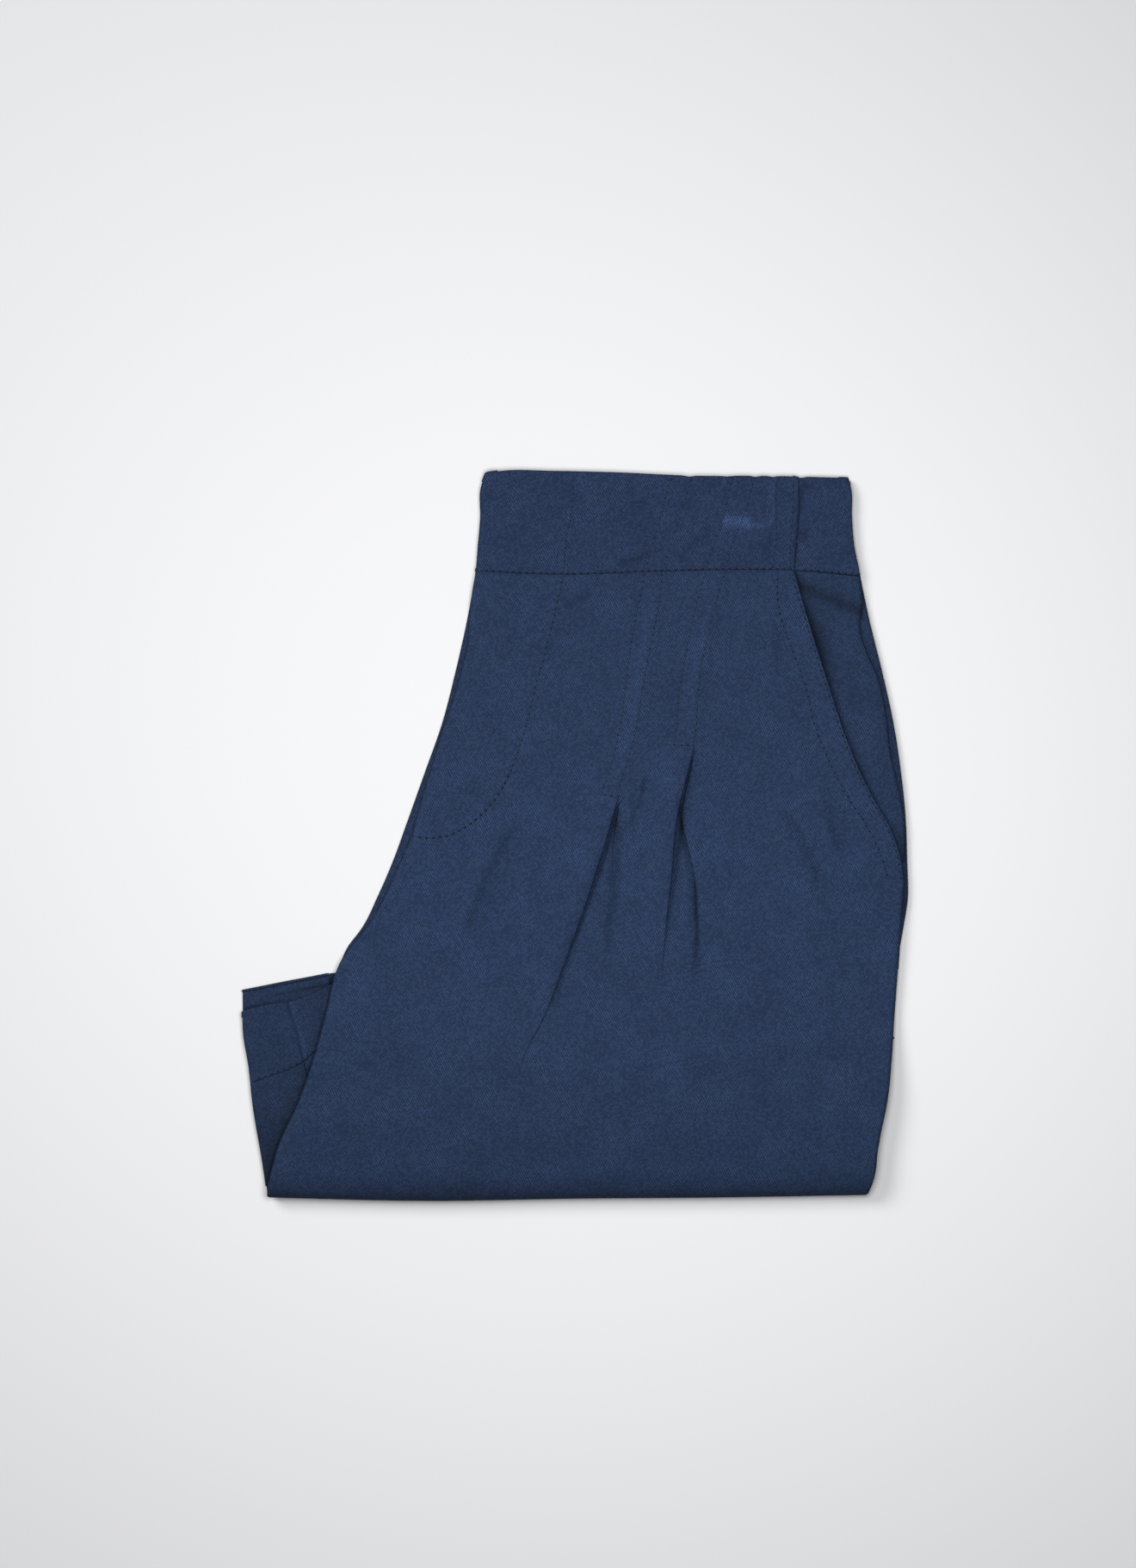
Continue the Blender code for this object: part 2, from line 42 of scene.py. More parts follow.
# small helpers: curves through tables, soft steps, node adding

def table(columns, *rows):
    return dict(zip(columns.split(), np.array(rows, dtype=float).T))


def read(rows, key, column, at):
    # cubic curve through the rows, held level past both ends
    keys = rows[key]
    values = rows[column]
    at = np.clip(at, keys[0], keys[-1])
    slopes = np.gradient(values, keys)
    n = np.clip(np.searchsorted(keys, at) - 1, 0, len(keys) - 2)
    step = keys[n + 1] - keys[n]
    t = (at - keys[n]) / step
    start = values[n] * (1 + 2 * t) * (1 - t) ** 2 + slopes[n] * step * t * (1 - t) ** 2
    return start + values[n + 1] * t * t * (3 - 2 * t) + slopes[n + 1] * step * t * t * (t - 1)


def ease(t):
    t = np.clip(t, 0.0, 1.0)
    return t * t * (3 - 2 * t)


def linear(hexColour):
    # sRGB hex to the linear colour that the shader takes
    parts = [int(hexColour[n:n + 2], 16) / 255 for n in (1, 3, 5)]
    return tuple(c / 12.92 if c <= 0.04045 else ((c + 0.055) / 1.055) ** 2.4 for c in parts) + (1.0,)


def addNode(tree, kind, settings=None, links=None, **values):
    # settings are the node's own properties, links its inputs fed by other sockets, values its input defaults
    node = tree.nodes.new(kind)
    for name, value in (settings or {}).items():
        setattr(node, name, value)
    for name, value in values.items():
        key = int(name[2:]) if name.startswith("in") and name[2:].isdigit() else name.replace("_", " ")
        node.inputs[key].default_value = value
    for key, socket in (links or {}).items():
        tree.links.new(socket, node.inputs[key])
    return node


# the garment's lines, in millimetres, as the solids have them

# across the left front at each height: edges, tuck stitching and tuck folds
sections = table(
    "y left stitch1 tuck1 stitch2 tuck2 right",
    (-177, -149.9, -42, -35, 24, 33, 142.4), (-170, -148.9, -41, -34, 24.5, 33.5, 144.9),
    (-150, -144, -39, -32, 25.5, 34.5, 147.8), (-130, -134.9, -36, -29, 27, 36, 152),
    (-107, -126.9, -32, -24.5, 29, 38, 154.6), (-86, -121.2, -22, -14, 31, 40, 156.2),
    (-62, -114.6, -13, -4.8, 34, 42.8, 158), (-40, -98.4, -5, 3.3, 36, 44.9, 159.6),
    (-18, -87.5, 2, 10.5, 38.5, 47.5, 160.2), (2, -79.2, 7, 16.6, 40, 49.1, 154.8),
    (18.5, -74.6, 12, 21, 43.5, 52.2, 145.6), (31, -70.7, 16.6, 23.9, 46.4, 55.2, 139.3),
    (45, -66.6, 20.3, 28.3, 48.7, 58.3, 133.4), (75, -56.8, 25.2, 33.6, 51.6, 60.7, 123.4),
    (94, -52.3, 27.5, 37.3, 55.2, 64.2, 117.3), (114, -50.9, 31.3, 41, 59.6, 68.8, 111.3),
    (129, -48.4, 34.4, 42.6, 63.8, 73.3, 107.1),
)
# the same two tucks where they run on up through the band
bandTucks = table(
    "y stitch1 tuck1 stitch2 tuck2",
    (127, 34.0, 42.2, 63.2, 72.9), (131, 34.9, 43.2, 63.9, 73.5), (140, 37.4, 46.2, 67.2, 76.2),
    (150, 40.5, 49.4, 70.7, 80.0), (160, 43.1, 52.7, 73.8, 83.8), (169.5, 45.4, 55.5, 75.4, 86.3),
    (178, 49.2, 58.4, 77.6, 88.7),
)
# how far the tuck folds stand up below their bars, how wide the hollow beside each is, and how deep
tuckHeights = table(
    "y tuck1 tuck2 wide1 wide2 deep1 deep2",
    (-125, 0, 0, 6, 6, 0, 0), (-105, 0.4, 0, 9, 8, 0, 0), (-85, 1.0, 0, 12, 12, 0, 0),
    (-62, 1.5, 0.15, 15, 16, 0, 0.35), (-52, 1.7, 0.45, 14.5, 15.5, 0.1, 0.7),
    (-45, 1.8, 0.85, 13.4, 14.8, 0.35, 0.95),
    (-30, 2.0, 1.4, 10, 12.8, 0.8, 1.3), (-16, 2.15, 1.8, 7, 9.6, 1.2, 1.5), (-4, 2.2, 2.0, 4, 6.0, 1.5, 1.6),
    (5, 2.1, 2.2, 2.6, 3.2, 1.5, 1.6), (12, 1.8, 2.2, 1.8, 1.6, 1.3, 1.5), (19, 1.2, 2.0, 0.9, 1.3, 0.8, 1.3),
    (32, 1.0, 1.6, 0.8, 1.2, 0.5, 1.1), (44, 1.0, 1.1, 0.8, 0.8, 0.5, 0.6),
    (129, 1.0, 1.0, 0.8, 0.8, 0.5, 0.5),
)
legOutline = table(
    "y left side",
    (-177, -150.3, 142.4), (-163, -152.2, 146.2), (-130, -157.6, 152), (-113, -159.4, 154.1),
    (-96, -162.1, 156.2), (-86, -162.4, 157.3), (-76, -162.5, 158.2),
)
bodyOutline = table(
    "y left side",
    (-67, -116.4, 159.7), (-54, -110.8, 160.6), (-46, -104.7, 161.2), (-29, -96.1, 162.8),
    (-12, -88.8, 162.4), (5, -82.6, 161.9), (30, -73.7, 159.5), (55, -64.9, 155.7), (80, -58.4, 150.2),
    (105, -52.8, 144), (127, -48.8, 139.4),
)
bandOutline = table(
    "y left side",
    (129, -48.4, 139), (141, -47.5, 136.5), (155, -46.3, 135.3), (170, -46, 134.7), (177.5, -43.4, 132),
)
bearerEdge = table(
    "y x", (-14, 161), (5, 161), (19, 159), (41, 154.1), (59, 152), (79, 147.4), (90, 142.4),
    (103, 139.0), (112, 140.4), (127, 138.8),
)
waistSeam = table("x y", (-50, 128.9), (-6, 127.3), (40, 128.7), (80, 129.6), (110, 129.2), (140, 126.6))
bandTop = table(
    "x y", (-47, 175.2), (-43, 177.0), (-36, 178.0), (-10, 178.0), (20, 177.3), (60, 175.6), (90, 175.6),
    (136, 174.6),
)
bandDips = [(55.8, 2.2, 0.5), (74, 2.5, 0.3), (88, 2.0, 0.5), (96.5, 2.0, 0.45), (109.9, 1.8, 0.9)]
bandEnd = table("y x", (129, 107.1), (145, 108.4), (160, 109.5), (177, 109.0))
bottomFold = table("x y", (-151, -176.4), (-70, -178.1), (0, -177.0), (72, -176.4), (142, -175.2))
leftHem = table(
    "x y", (-163, -75.9), (-149, -72.7), (-129, -69), (-116, -67), (-71, -75), (47, -94), (104, -101),
    (160, -98.6),
)
leftHemStitch = table("x y", (-163, -112.0), (-110, -105.5), (-60, -110.0), (47, -129.0), (160, -134.5))
rightHem = table(
    "x y", (-163, -85.9), (-151, -82.5), (-139, -80.9), (-127, -76.4), (-118, -72.2), (-100, -71.0)
)
rightHemStitch = table("x y", (-163, -122.0), (-149, -117.5), (-133, -110.5), (-125, -103.7), (-100, -100.0))
inseam = table(
    "y x", (-172, -118.0), (-140, -124.5), (-122, -129.4), (-110, -132.5), (-94, -136.4), (-80, -140.9)
)

# stacking heights, as in the solids
stack = {
    "body": 6.0, "seam": 6.5, "band": 7.0, "legRise": 6.0, "legRamp": 44.0, "rollRise": 1.5,
    "rollDepth": 14.0, "rightLegBottom": 3.0, "rightLegTop": 5.6, "backTop": 3.4, "backBottom": 1.3,
}


def frontSide(y):
    return read(sections, "y", "right", y)


def lineAt(rows, x):
    return read(rows, "x", "y", x)


def edgeAt(rows, y):
    return read(rows, "y", "x", y)


def bandTopAt(x):
    # dips where the seams and the tab below pull the top edge in
    dips = sum(depth * np.exp(-((x - at) / wide) ** 2) for at, wide, depth in bandDips)
    return lineAt(bandTop, x) - dips


def outline(column, y):
    body = np.where(y > 128, read(bandOutline, "y", column, y), read(bodyOutline, "y", column, y))
    return np.where(y > -67, body, read(legOutline, "y", column, y))


def legLeft(y):
    return outline("left", np.minimum(y, -76.0))


def topHeight(x, y):
    # the upper side before tucks and creases: low on the body, higher where the folded legs lie under it
    seam = ease((y - 95) / 34) * (stack["seam"] - stack["body"])
    ramp = stack["legRamp"]
    legs = ease((lineAt(leftHem, x) - 6 + ramp / 2 - y) / ramp) * stack["legRise"]
    return stack["body"] + seam + legs + ease((-120 - y) / 40) * stack["rollRise"]


# making cloth: columns across, rows up, then a real thickness

def rollAt(depth, half, back=3.0):
    # a folded edge: how far its nose, half height and hidden return reach, each a number or a function of y
    return {"depth": depth, "half": half, "back": back}


rollAngles = np.radians([-90, -66, -42, -18, 6, 30, 52, 72, 90])


def rollColumns(edge, roll, inward):
    # from the hidden return, round the nose, to the flat
    def value(name, y):
        return roll[name](y) if callable(roll[name]) else roll[name]

    found = [(
        lambda y: edge(y) + inward * (value("depth", y) + value("back", y)),
        lambda y: 2 * value("half", y) + 0 * y,
    )]
    for angle in rollAngles:
        found.append((
            lambda y, angle=angle: edge(y) + inward * value("depth", y) * (1 - math.cos(angle)),
            lambda y, angle=angle: value("half", y) * (1 - math.sin(angle)) + 0 * y,
        ))
    return found


# a tuck from left of its stitching to right of its fold: sewn flat above its bar, then an open hollow with
# the fold over its left side and a second, lower fold over its right, openW times the hollow's width away
tuckProfile = table(
    "sewnX sewnZ openX openW openZ openD",
    (-14, 0.0, -14, 0, 0.10, 0), (-12, 0.0, -12, 0, 0.25, 0), (-10.6, -0.007, -10, 0, 0.45, 0),
    (-10, -0.042, -8.5, 0, 0.60, 0), (-9.5, -0.084, -7, 0, 0.72, 0), (-9.05, -0.035, -5.6, 0, 0.82, 0),
    (-8.4, 0.042, -4.4, 0, 0.89, 0), (-7, 0.098, -3.3, 0, 0.94, 0), (-5.2, 0.126, -2.4, 0, 0.97, 0),
    (-3.5, 0.133, -1.6, 0, 0.99, 0), (-2.2, 0.119, -1.0, 0, 1.0, 0), (-1.3, 0.077, -0.55, 0, 0.97, 0),
    (-0.8, 0.028, -0.2, 0, 0.88, 0), (-0.35, -0.028, -0.02, 0, 0.75, 0), (-0.12, -0.07, 0, 0, 0.55, 0),
    (0, -0.084, -0.1, 0, 0.35, 0), (0.12, -0.077, -0.5, 0, 0.15, -0.2), (0.35, -0.063, -1.5, 0, 0, -0.5),
    (0.6, -0.052, -2.2, 0, 0, -0.75), (0.9, -0.042, -1.9, 0, 0, -0.95), (1.3, -0.035, -0.8, 0, 0, -1.0),
    (1.8, -0.028, 0.3, 0, 0, -0.95), (2.3, -0.021, 0.2, 0.25, 0, -0.62), (2.8, -0.017, 0.2, 0.55, 0, -0.5),
    (3.2, -0.014, 0, 0.85, 0, -0.72), (3.6, -0.01, 0.05, 1, 0, -1.0), (4.0, -0.007, 0.5, 1, 0, -0.9),
    (4.3, -0.003, 0.35, 1, 0, -0.6), (4.6, 0.0, 0.05, 1, 0, -0.33), (5.0, 0.0, 0, 1, 0, -0.12),
    (5.4, 0.0, 0.25, 1, 0, 0.02),
    (6.0, 0.0, 0.9, 1, 0, 0.10), (7.0, 0.0, 2.2, 1, 0, 0.08), (8.5, 0.0, 5, 1, 0, 0),
)


def tuckColumns(fold, stitch, openness, height, wide, deep):
    # the stitching lies 9.5 mm from the fold on the pattern, and the left part stretches to meet it
    found = []
    for n in range(len(tuckProfile["sewnX"])):
        row = {name: values[n] for name, values in tuckProfile.items()}

        def place(y, row=row):
            stretch = (fold(y) - stitch(y)) / 9.5
            # the left fold closes as its height goes, the right one as the hollow does
            opened = openness(y) * ease(height(y) / 0.9 if row["sewnX"] < 1.7 else deep(y) / 0.5)
            x = row["sewnX"] + (row["openX"] + row["openW"] * wide(y) - row["sewnX"]) * opened
            return fold(y) + x * np.where(x < 0, stretch, 1.0)

        def lift(y, row=row):
            opened = row["openZ"] * height(y) + row["openD"] * deep(y)
            return row["sewnZ"] * (1 - openness(y)) + opened * openness(y)

        found.append((place, lift))
    return found


def across(start, end, counts, startRoll=None, endRoll=None, folds=()):
    # the columns of a sheet, each (place, drop, lift) as functions of y
    none = lambda y: 0 * y
    groups = []
    if startRoll:
        groups.append([(p, d, none) for p, d in rollColumns(start, startRoll, 1)])
    else:
        groups.append([(start, none, none)])
    for fold in folds:
        groups.append([(p, none, l) for p, l in tuckColumns(**fold)])
    if endRoll:
        groups.append([(p, d, none) for p, d in reversed(rollColumns(end, endRoll, -1))])
    else:
        groups.append([(end, none, none)])
    columns = list(groups[0])
    for count, group in zip(counts, groups[1:]):
        a, b = columns[-1][0], group[0][0]
        for n in range(1, count):
            columns.append((lambda y, a=a, b=b, t=n / count: a(y) * (1 - t) + b(y) * t, none, none))
        columns += group
    return columns


def layCloth(columns, rowPlace, rowDrop=0.0, up=1.0, relief=None):
    # rowPlace(x) gives y, the upward share of the normal, and the height, for every row of a column
    points = []
    for place, drop, lift in columns:
        x = np.zeros_like(rowPlace(0.0)[0])
        for _ in range(4):
            y, facing, height = rowPlace(x)
            x = place(y) + 0 * y
        slope = np.sqrt(np.clip(1 - facing * facing, 0, 1))
        fall = drop(y) * (0.45 + 0.55 * np.abs(facing))
        fall = np.minimum(fall + rowDrop, np.maximum(fall, rowDrop) + 0.6)
        rise = lift(y) * np.maximum(facing, 0)
        if relief:
            rise = rise + relief(x, y) * np.maximum(facing, 0)
        z = height + up * (rise - fall * np.where(up > 0, facing, 1))
        points.append(np.stack([x, y + fall * slope, z], axis=1))
    return np.array(points)


def rollRows(low, high, steps, lowRoll=None, highRoll=None):
    # a sheet's rows with rolled ends, each (share of the way, inset from low, inset from high, drop)
    def turned(roll):
        # inset and drop, from the hidden return round the nose to the flat
        found = [(roll[0] + roll[2], 2 * roll[1])]
        return found + [(roll[0] * (1 - math.cos(a)), roll[1] * (1 - math.sin(a))) for a in rollAngles]

    rows = []
    if lowRoll:
        rows += [(0.0, inset, 0.0, drop) for inset, drop in turned(lowRoll)]
    else:
        rows.append((0.0, 0.0, 0.0, 0.0))
    lowInset = lowRoll[0] if lowRoll else 0.0
    highInset = highRoll[0] if highRoll else 0.0
    rows += [(n / steps, lowInset * (1 - n / steps), highInset * n / steps, 0.0) for n in range(1, steps)]
    if highRoll:
        rows += [(1.0, 0.0, inset, drop) for inset, drop in reversed(turned(highRoll))]
    else:
        rows.append((1.0, 0.0, 0.0, 0.0))
    share, lowIn, highIn, drop = np.array(rows).T

    def place(x):
        bottom, top = low(x), high(x)
        return bottom + (top - bottom) * share + lowIn - highIn

    return place, drop


def flatCloth(columns, low, high, steps, height, lowRoll=None, highRoll=None, up=1.0, relief=None):
    place, drop = rollRows(low, high, steps, lowRoll, highRoll)

    def rowPlace(x):
        y = place(x)
        return y, 1.0 + 0 * y, height(x, y) + 0 * y

    return layCloth(columns, rowPlace, drop, up, relief)


def flatness(points):
    # how level the cloth lies at each grid point, from 0, upright, to 1
    alongX, alongY = np.gradient(points, axis=0), np.gradient(points, axis=1)
    normal = np.cross(alongX, alongY)
    return np.abs(normal[:, :, 2]) / np.maximum(np.linalg.norm(normal, axis=2), 1e-9)


def clothObject(name, points, thickness, material, flip=False, tone=None):
    # a grid of the right count, moved to its points, mapped in millimetres of cloth and given its thickness
    # tone(x, y) is the painted shade and painted highlight at a place, 1 where there is none
    if flip:
        points = points[:, ::-1]
    wide, along = points.shape[0] - 1, points.shape[1] - 1
    bpy.ops.object.select_all(action="DESELECT")
    bpy.ops.mesh.primitive_grid_add(x_subdivisions=wide, y_subdivisions=along, size=1, location=(0, 0, 0))
    piece = bpy.context.object
    piece.name = name
    mesh = piece.data
    mesh.name = name
    places = np.zeros(len(mesh.vertices) * 3)
    mesh.vertices.foreach_get("co", places)
    places = places.reshape(-1, 3)
    i = np.rint((places[:, 0] + 0.5) * wide).astype(int)
    j = np.rint((places[:, 1] + 0.5) * along).astype(int)
    mesh.vertices.foreach_set("co", (points[i, j] * mm).ravel())
    step = np.linalg.norm(np.diff(points[:, :, 1:], axis=1), axis=2)
    grown = np.concatenate([np.zeros((wide + 1, 1)), np.cumsum(step, axis=1)], axis=1)
    middle = along // 2
    clothY = grown - grown[:, middle:middle + 1] + points[:, middle:middle + 1, 1]
    cloth = np.stack([points[:, :, 0], clothY], axis=2)
    loops = np.zeros(len(mesh.loops), dtype=int)
    mesh.loops.foreach_get("vertex_index", loops)
    mesh.uv_layers[0].name = "cloth"
    mesh.uv_layers[0].data.foreach_set("uv", cloth[i, j][loops].ravel())
    shown = points[i, j]
    tones = np.ones(len(shown)) if tone is None else tone(shown[:, 0], shown[:, 1])
    # painted shade where the cloth turns away from level: rolled edges, fold walls and rims
    tones = tones * (1 - 0.6 * ease((0.95 - flatness(points)[i, j]) / 0.6))
    paintedShading = mesh.attributes.new("tone", "FLOAT", "POINT")
    paintedShading.data.foreach_set("value", tones)
    mesh.materials.append(material)
    wall = piece.modifiers.new("wall", "SOLIDIFY")
    wall.thickness = thickness * mm
    wall.offset = -1
    bpy.ops.object.modifier_apply(modifier="wall")
    bpy.ops.object.shade_smooth_by_angle(angle=math.radians(50))
    return piece


def finishCloth(piece, nodes):
    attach(piece, "root")
    if nodes:
        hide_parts(*nodes)
    print("cloth:", piece.name, len(piece.data.polygons), "faces")


# creases, listed one by one

def creaseLift(x, y, creases, fadeOver=0.3):
    # soft ridges and troughs along short lines; each is steeper on one side, as a pressed fold is
    total = np.zeros(np.broadcast(x, y).shape)
    for points, width, height, lean in creases:
        path = np.array(points, dtype=float)
        steps = np.linalg.norm(np.diff(path, axis=0), axis=1)
        starts = np.concatenate([[0], np.cumsum(steps)])
        best = np.full(total.shape, 1e9)
        along = np.zeros(total.shape)
        side = np.zeros(total.shape)
        for n, length in enumerate(steps):
            dx, dy = (path[n + 1] - path[n]) / length
            px, py = x - path[n][0], y - path[n][1]
            t = np.clip(px * dx + py * dy, 0, length)
            gap = (px - t * dx) ** 2 + (py - t * dy) ** 2
            nearer = gap < best
            best = np.where(nearer, gap, best)
            along = np.where(nearer, (starts[n] + t) / starts[-1], along)
            side = np.where(nearer, np.sign(px * dy - py * dx), side)
        spread = width * (1 + lean * side)
        fade = ease(along / fadeOver) * ease((1 - along) / fadeOver)
        total += height * fade * np.exp(-best / (2 * spread ** 2))
    return total


def undulation(x, y):
    # the slow waves of cloth that has been worn and smoothed by hand
    wave = 0.16 * np.sin(x / 17.0 + 0.8 * np.sin(y / 31.0)) * np.sin(y / 43.0 + 0.6)
    wave += 0.10 * np.sin((x + 0.7 * y) / 11.0 + 1.3) * np.sin((y - 0.3 * x) / 27.0)
    return wave + 0.05 * np.sin((0.9 * x - y) / 7.3) * np.sin((x + y) / 19.0 + 2.0)


# the fold that runs down to the right from the second tuck's bar
rightBranch = [(51.2, 10.3), (54.0, -6.7), (56.6, -17), (58.4, -26), (59.7, -46.5)]
# points, half width, height and lean to one side, all in millimetres
frontCreases = [
    ([(-29.8, 2.5), (-39.1, -16.4), (-48.5, -37.4), (-58, -56.3)], 4.5, 0.7, 0.3),
    ([(-22, -2), (-31, -21), (-40, -41), (-50, -60)], 4.0, -0.35, 0.0),
    ([(101.6, 17.2), (107.9, 2.5), (112.1, -16.4), (117.4, -37.4), (120.5, -52.1)], 4.5, 0.6, 0.3),
    ([(115.3, 42.4), (119.5, 21.4), (122.6, 10.9), (126.8, -3.8), (131, -16.4)], 4.0, 0.5, 0.3),
    ([(96.4, 113.8), (96.4, 88.6), (93.2, 65.5)], 3.0, 0.35, 0.2),
    ([(102, 110), (101.5, 88), (99, 66)], 3.0, -0.35, 0.0),
    ([(33.6, 26.9), (31.5, 20.2), (29.4, 13.9), (27.3, 5.9)], 1.4, -0.3, 0.3),
    ([(-28.6, -37.4), (-39, -45.8), (-50.8, -57.1)], 5.0, 0.35, 0.2),
    ([(51.2, -113), (59.6, -106.7), (97.4, -104.6), (103.7, -101.2), (156.2, -98.3)], 3.5, 0.5, 0.5),
    ([(51, -119), (60, -112.5), (98, -110.5), (105, -107), (156, -104)], 4.0, -0.45, 0.0),
    ([(50.5, -86), (52, -110), (50, -140)], 3.5, 0.3, 0.2),
    ([(-7.6, 106.7), (10, 117.2), (21.8, 123.5)], 4.0, -0.3, 0.0),
    ([(-120, -96), (-60, -104), (0, -118), (44, -126)], 6.0, 0.25, 0.2),
    ([(23, 20), (18.5, 4), (13.5, -12), (6.5, -32), (-1.5, -54), (-11, -82)], 2.0, -0.75, 0.4),
    ([(12, 12), (6, -12), (-2, -36), (-12, -66), (-20, -90)], 5.0, 0.45, 0.2),
    ([(60, 42), (55, 12), (52, -8), (50, -26), (48, -50)], 2.2, -0.55, 0.4),
    ([(48, 36), (44, 8), (42, -14), (40, -40)], 5.0, 0.35, 0.2),
    ([(50.4, 18), *rightBranch, (59.2, -72)], 0.9, -0.8, 0.3),
    ([(56, 8), (61, -10), (64.5, -34), (64.5, -62)], 3.0, 0.45, 0.0),
    ([(71, 20), (72, -10), (74, -44)], 7.0, 0.35, 0.0),
    ([(-12, 118), (0, 108), (10, 90)], 6.0, 0.22, 0.0),
    ([(-34, 58), (-22, 30), (-14, 4)], 7.0, 0.3, 0.0),
    ([(34, 6), (33, -16), (30, -40)], 3.5, -0.3, 0.2),
]
bandCreases = [
    ([(51.2, 139), (55.4, 144.5), (63.8, 148.7)], 1.8, 0.3, 0.3),
    ([(26.9, 134.8), (31, 138.2), (34.4, 139)], 1.8, 0.3, 0.0),
    ([(87.8, 136), (92, 144.5), (96.2, 149.5)], 2.0, 0.35, 0.2),
    ([(23.9, 161.3), (39.5, 161.3)], 3.0, -0.22, 0.0),
    ([(9.2, 150.8), (30, 155)], 3.0, -0.22, 0.0),
    ([(46, 133.5), (50, 140), (62, 150.5)], 1.6, -0.35, 0.3),
    ([(20, 131.5), (30, 133.5), (38, 140)], 1.6, -0.3, 0.3),
    ([(70, 154.5), (76, 156.5), (84, 154)], 1.8, -0.45, 0.2),
    ([(72, 152), (84, 151.3)], 1.0, 0.35, 0.0),
    ([(74.5, 175), (72, 168), (70, 162)], 1.2, 0.35, 0.3),
    ([(86.5, 172), (83.5, 163), (81, 154)], 1.2, 0.35, 0.3),
    ([(96.5, 174), (96.3, 164), (97.5, 160), (96, 155), (94, 151)], 1.0, 0.35, 0.3),
    ([(54, 172), (55, 160)], 3.0, 0.25, 0.0),
    ([(12, 176), (12, 160), (10, 146)], 5.0, 0.25, 0.0),
]


def lineTone(x, y, marks):
    # painted shade and painted highlights as lines and patches: points, half width and change, faded at both
    # ends
    return creaseLift(x, y, [(points, width, change, 0.0) for points, width, change in marks], 0.12)


# painted shade along the folds, creases and edges, and painted highlights along the tucks' raised bands and
# on the band, on the upper side, in millimetres
frontShadeAndHighlights = [
    ([(38.7, 122), (34.6, 94), (31, 75), (27, 54), (23.2, 38), (18, 21)], 2.2, 0.13),
    ([(69.5, 125), (61.5, 96), (57, 75), (54.5, 48)], 2.2, 0.12),
    ([(44.5, 122), (40, 94), (36.3, 75), (31, 45), (25, 24)], 1.8, -0.07),
    ([(75.5, 125), (67.3, 96), (63, 75), (60.5, 48)], 1.8, -0.08),
    ([(21.2, 18), (18.6, 4), (14.4, -10), (7.8, -30), (0.4, -50), (-8.5, -75), (-12, -88)], 1.3, -0.36),
    ([(20.9, 16), (20.4, 0), (19.4, -14), (18.4, -30), (16.6, -46), (15, -60)], 1.4, -0.34),
    ([(57.9, 42), (55.0, 24), (52.4, 8), (50.2, -8), (48.4, -24), (46.8, -40), (46, -54)], 1.1, -0.36),
    ([(49.8, 24), *rightBranch, (59.2, -74)], 0.85, -0.52),
    ([(-29.5, 6.7), (-35.5, -5.3), (-44.5, -23.3), (-50.5, -39.8), (-55, -50.3)], 1.7, -0.3),
    ([(35, 32), (32.6, 20.7), (28.5, 9.1), (25.4, 2.4)], 0.9, -0.36),
    ([(15.8, 125.4), (6, 119), (-5.2, 109.6)], 1.6, -0.12),
    ([(99.9, 15.1), (106.9, 4.6), (115.6, -12.9), (119, -26)], 1.4, -0.28),
    ([(121.8, 18.6), (125.2, 4.6), (129.6, -9.4)], 1.4, -0.24),
    ([(99.9, 120), (99.9, 106)], 0.8, -0.12),
    ([(7, 107), (-8, 97), (-18, 88)], 3.0, -0.08),
    ([(50, -119), (75, -112), (110, -108), (152, -106)], 6.0, -0.08),
    ([(48.5, -82), (49, -120), (48.5, -152)], 2.2, 0.05),
]
bandShadeAndHighlights = [
    ([(1.5, 172), (9.5, 172)], 2.6, 0.2),
    ([(71, 154.0), (78, 153.2), (86.5, 152.0)], 1.9, 0.75),
    ([(83, 151.6), (90, 151.2), (96.5, 152.8)], 1.1, 0.4),
    ([(74.2, 174.6), (72, 170), (70.3, 166)], 0.6, 0.3),
    ([(86.7, 171.4), (84, 161), (81.4, 152.3)], 0.6, 0.34),
    ([(96.9, 173.3), (96.3, 163.4), (97.8, 160.8), (96.3, 154.9), (94.5, 151.6)], 0.6, 0.4),
    ([(109.9, 173), (109.7, 160.8), (108.3, 152.9), (107.6, 143.7), (107, 129.3)], 0.9, -0.35),
    ([(111, 171.5), (115, 170.4)], 1.5, -0.3),
    ([(109, 148.5), (114.5, 145)], 2.0, -0.3),
    ([(-5, 152), (-5.5, 140)], 1.2, -0.05),
    ([(68.5, 151), (60, 144.6), (54, 139), (50, 133)], 1.5, -0.22),
    ([(44, 141), (36, 137), (30, 134.6), (20, 133)], 1.5, -0.18),
    ([(92, 134), (96, 146)], 1.2, -0.10),
    ([(24, 162), (60, 160)], 2.5, -0.06),
]


# painted shade and light, each (how much darker, over how many millimetres)
paintedShades = {
    "underBand": (0.10, 1.4), "aboveSeam": (0.08, 1.5), "foot": (0.11, 70), "bottomRoll": (0.24, 18),
    "lightMiddle": (0.06, 55), "pocketMouth": (0.55, 4.6), "pocketEdge": (0.25, 2.2),
    "bearerFold": (0.48, 3.6), "bearerRim": (0.22, 1.2), "bearerFoot": (0.3, 20), "rightFront": (0.3, 4.0),
    "besideFront": (0.38, 4.0), "legFoot": (0.33, 60), "inseamLine": (0.42, 0.6),
    "inseamLight": (0.24, 1.3), "overHem": (0.62, 1.3), "backRim": (0.3, 1.6),
}


def bell(name, away):
    # darkest at the line, fading on both sides
    depth, wide = paintedShades[name]
    return depth * np.exp(-(away / wide) ** 2)


def tail(name, away):
    # darkest at the line and before it, fading beyond
    depth, wide = paintedShades[name]
    return depth * np.exp(-np.maximum(away, 0) / wide)


def growing(name, away):
    # growing from the line to its full depth
    depth, wide = paintedShades[name]
    return depth * ease(away / wide)


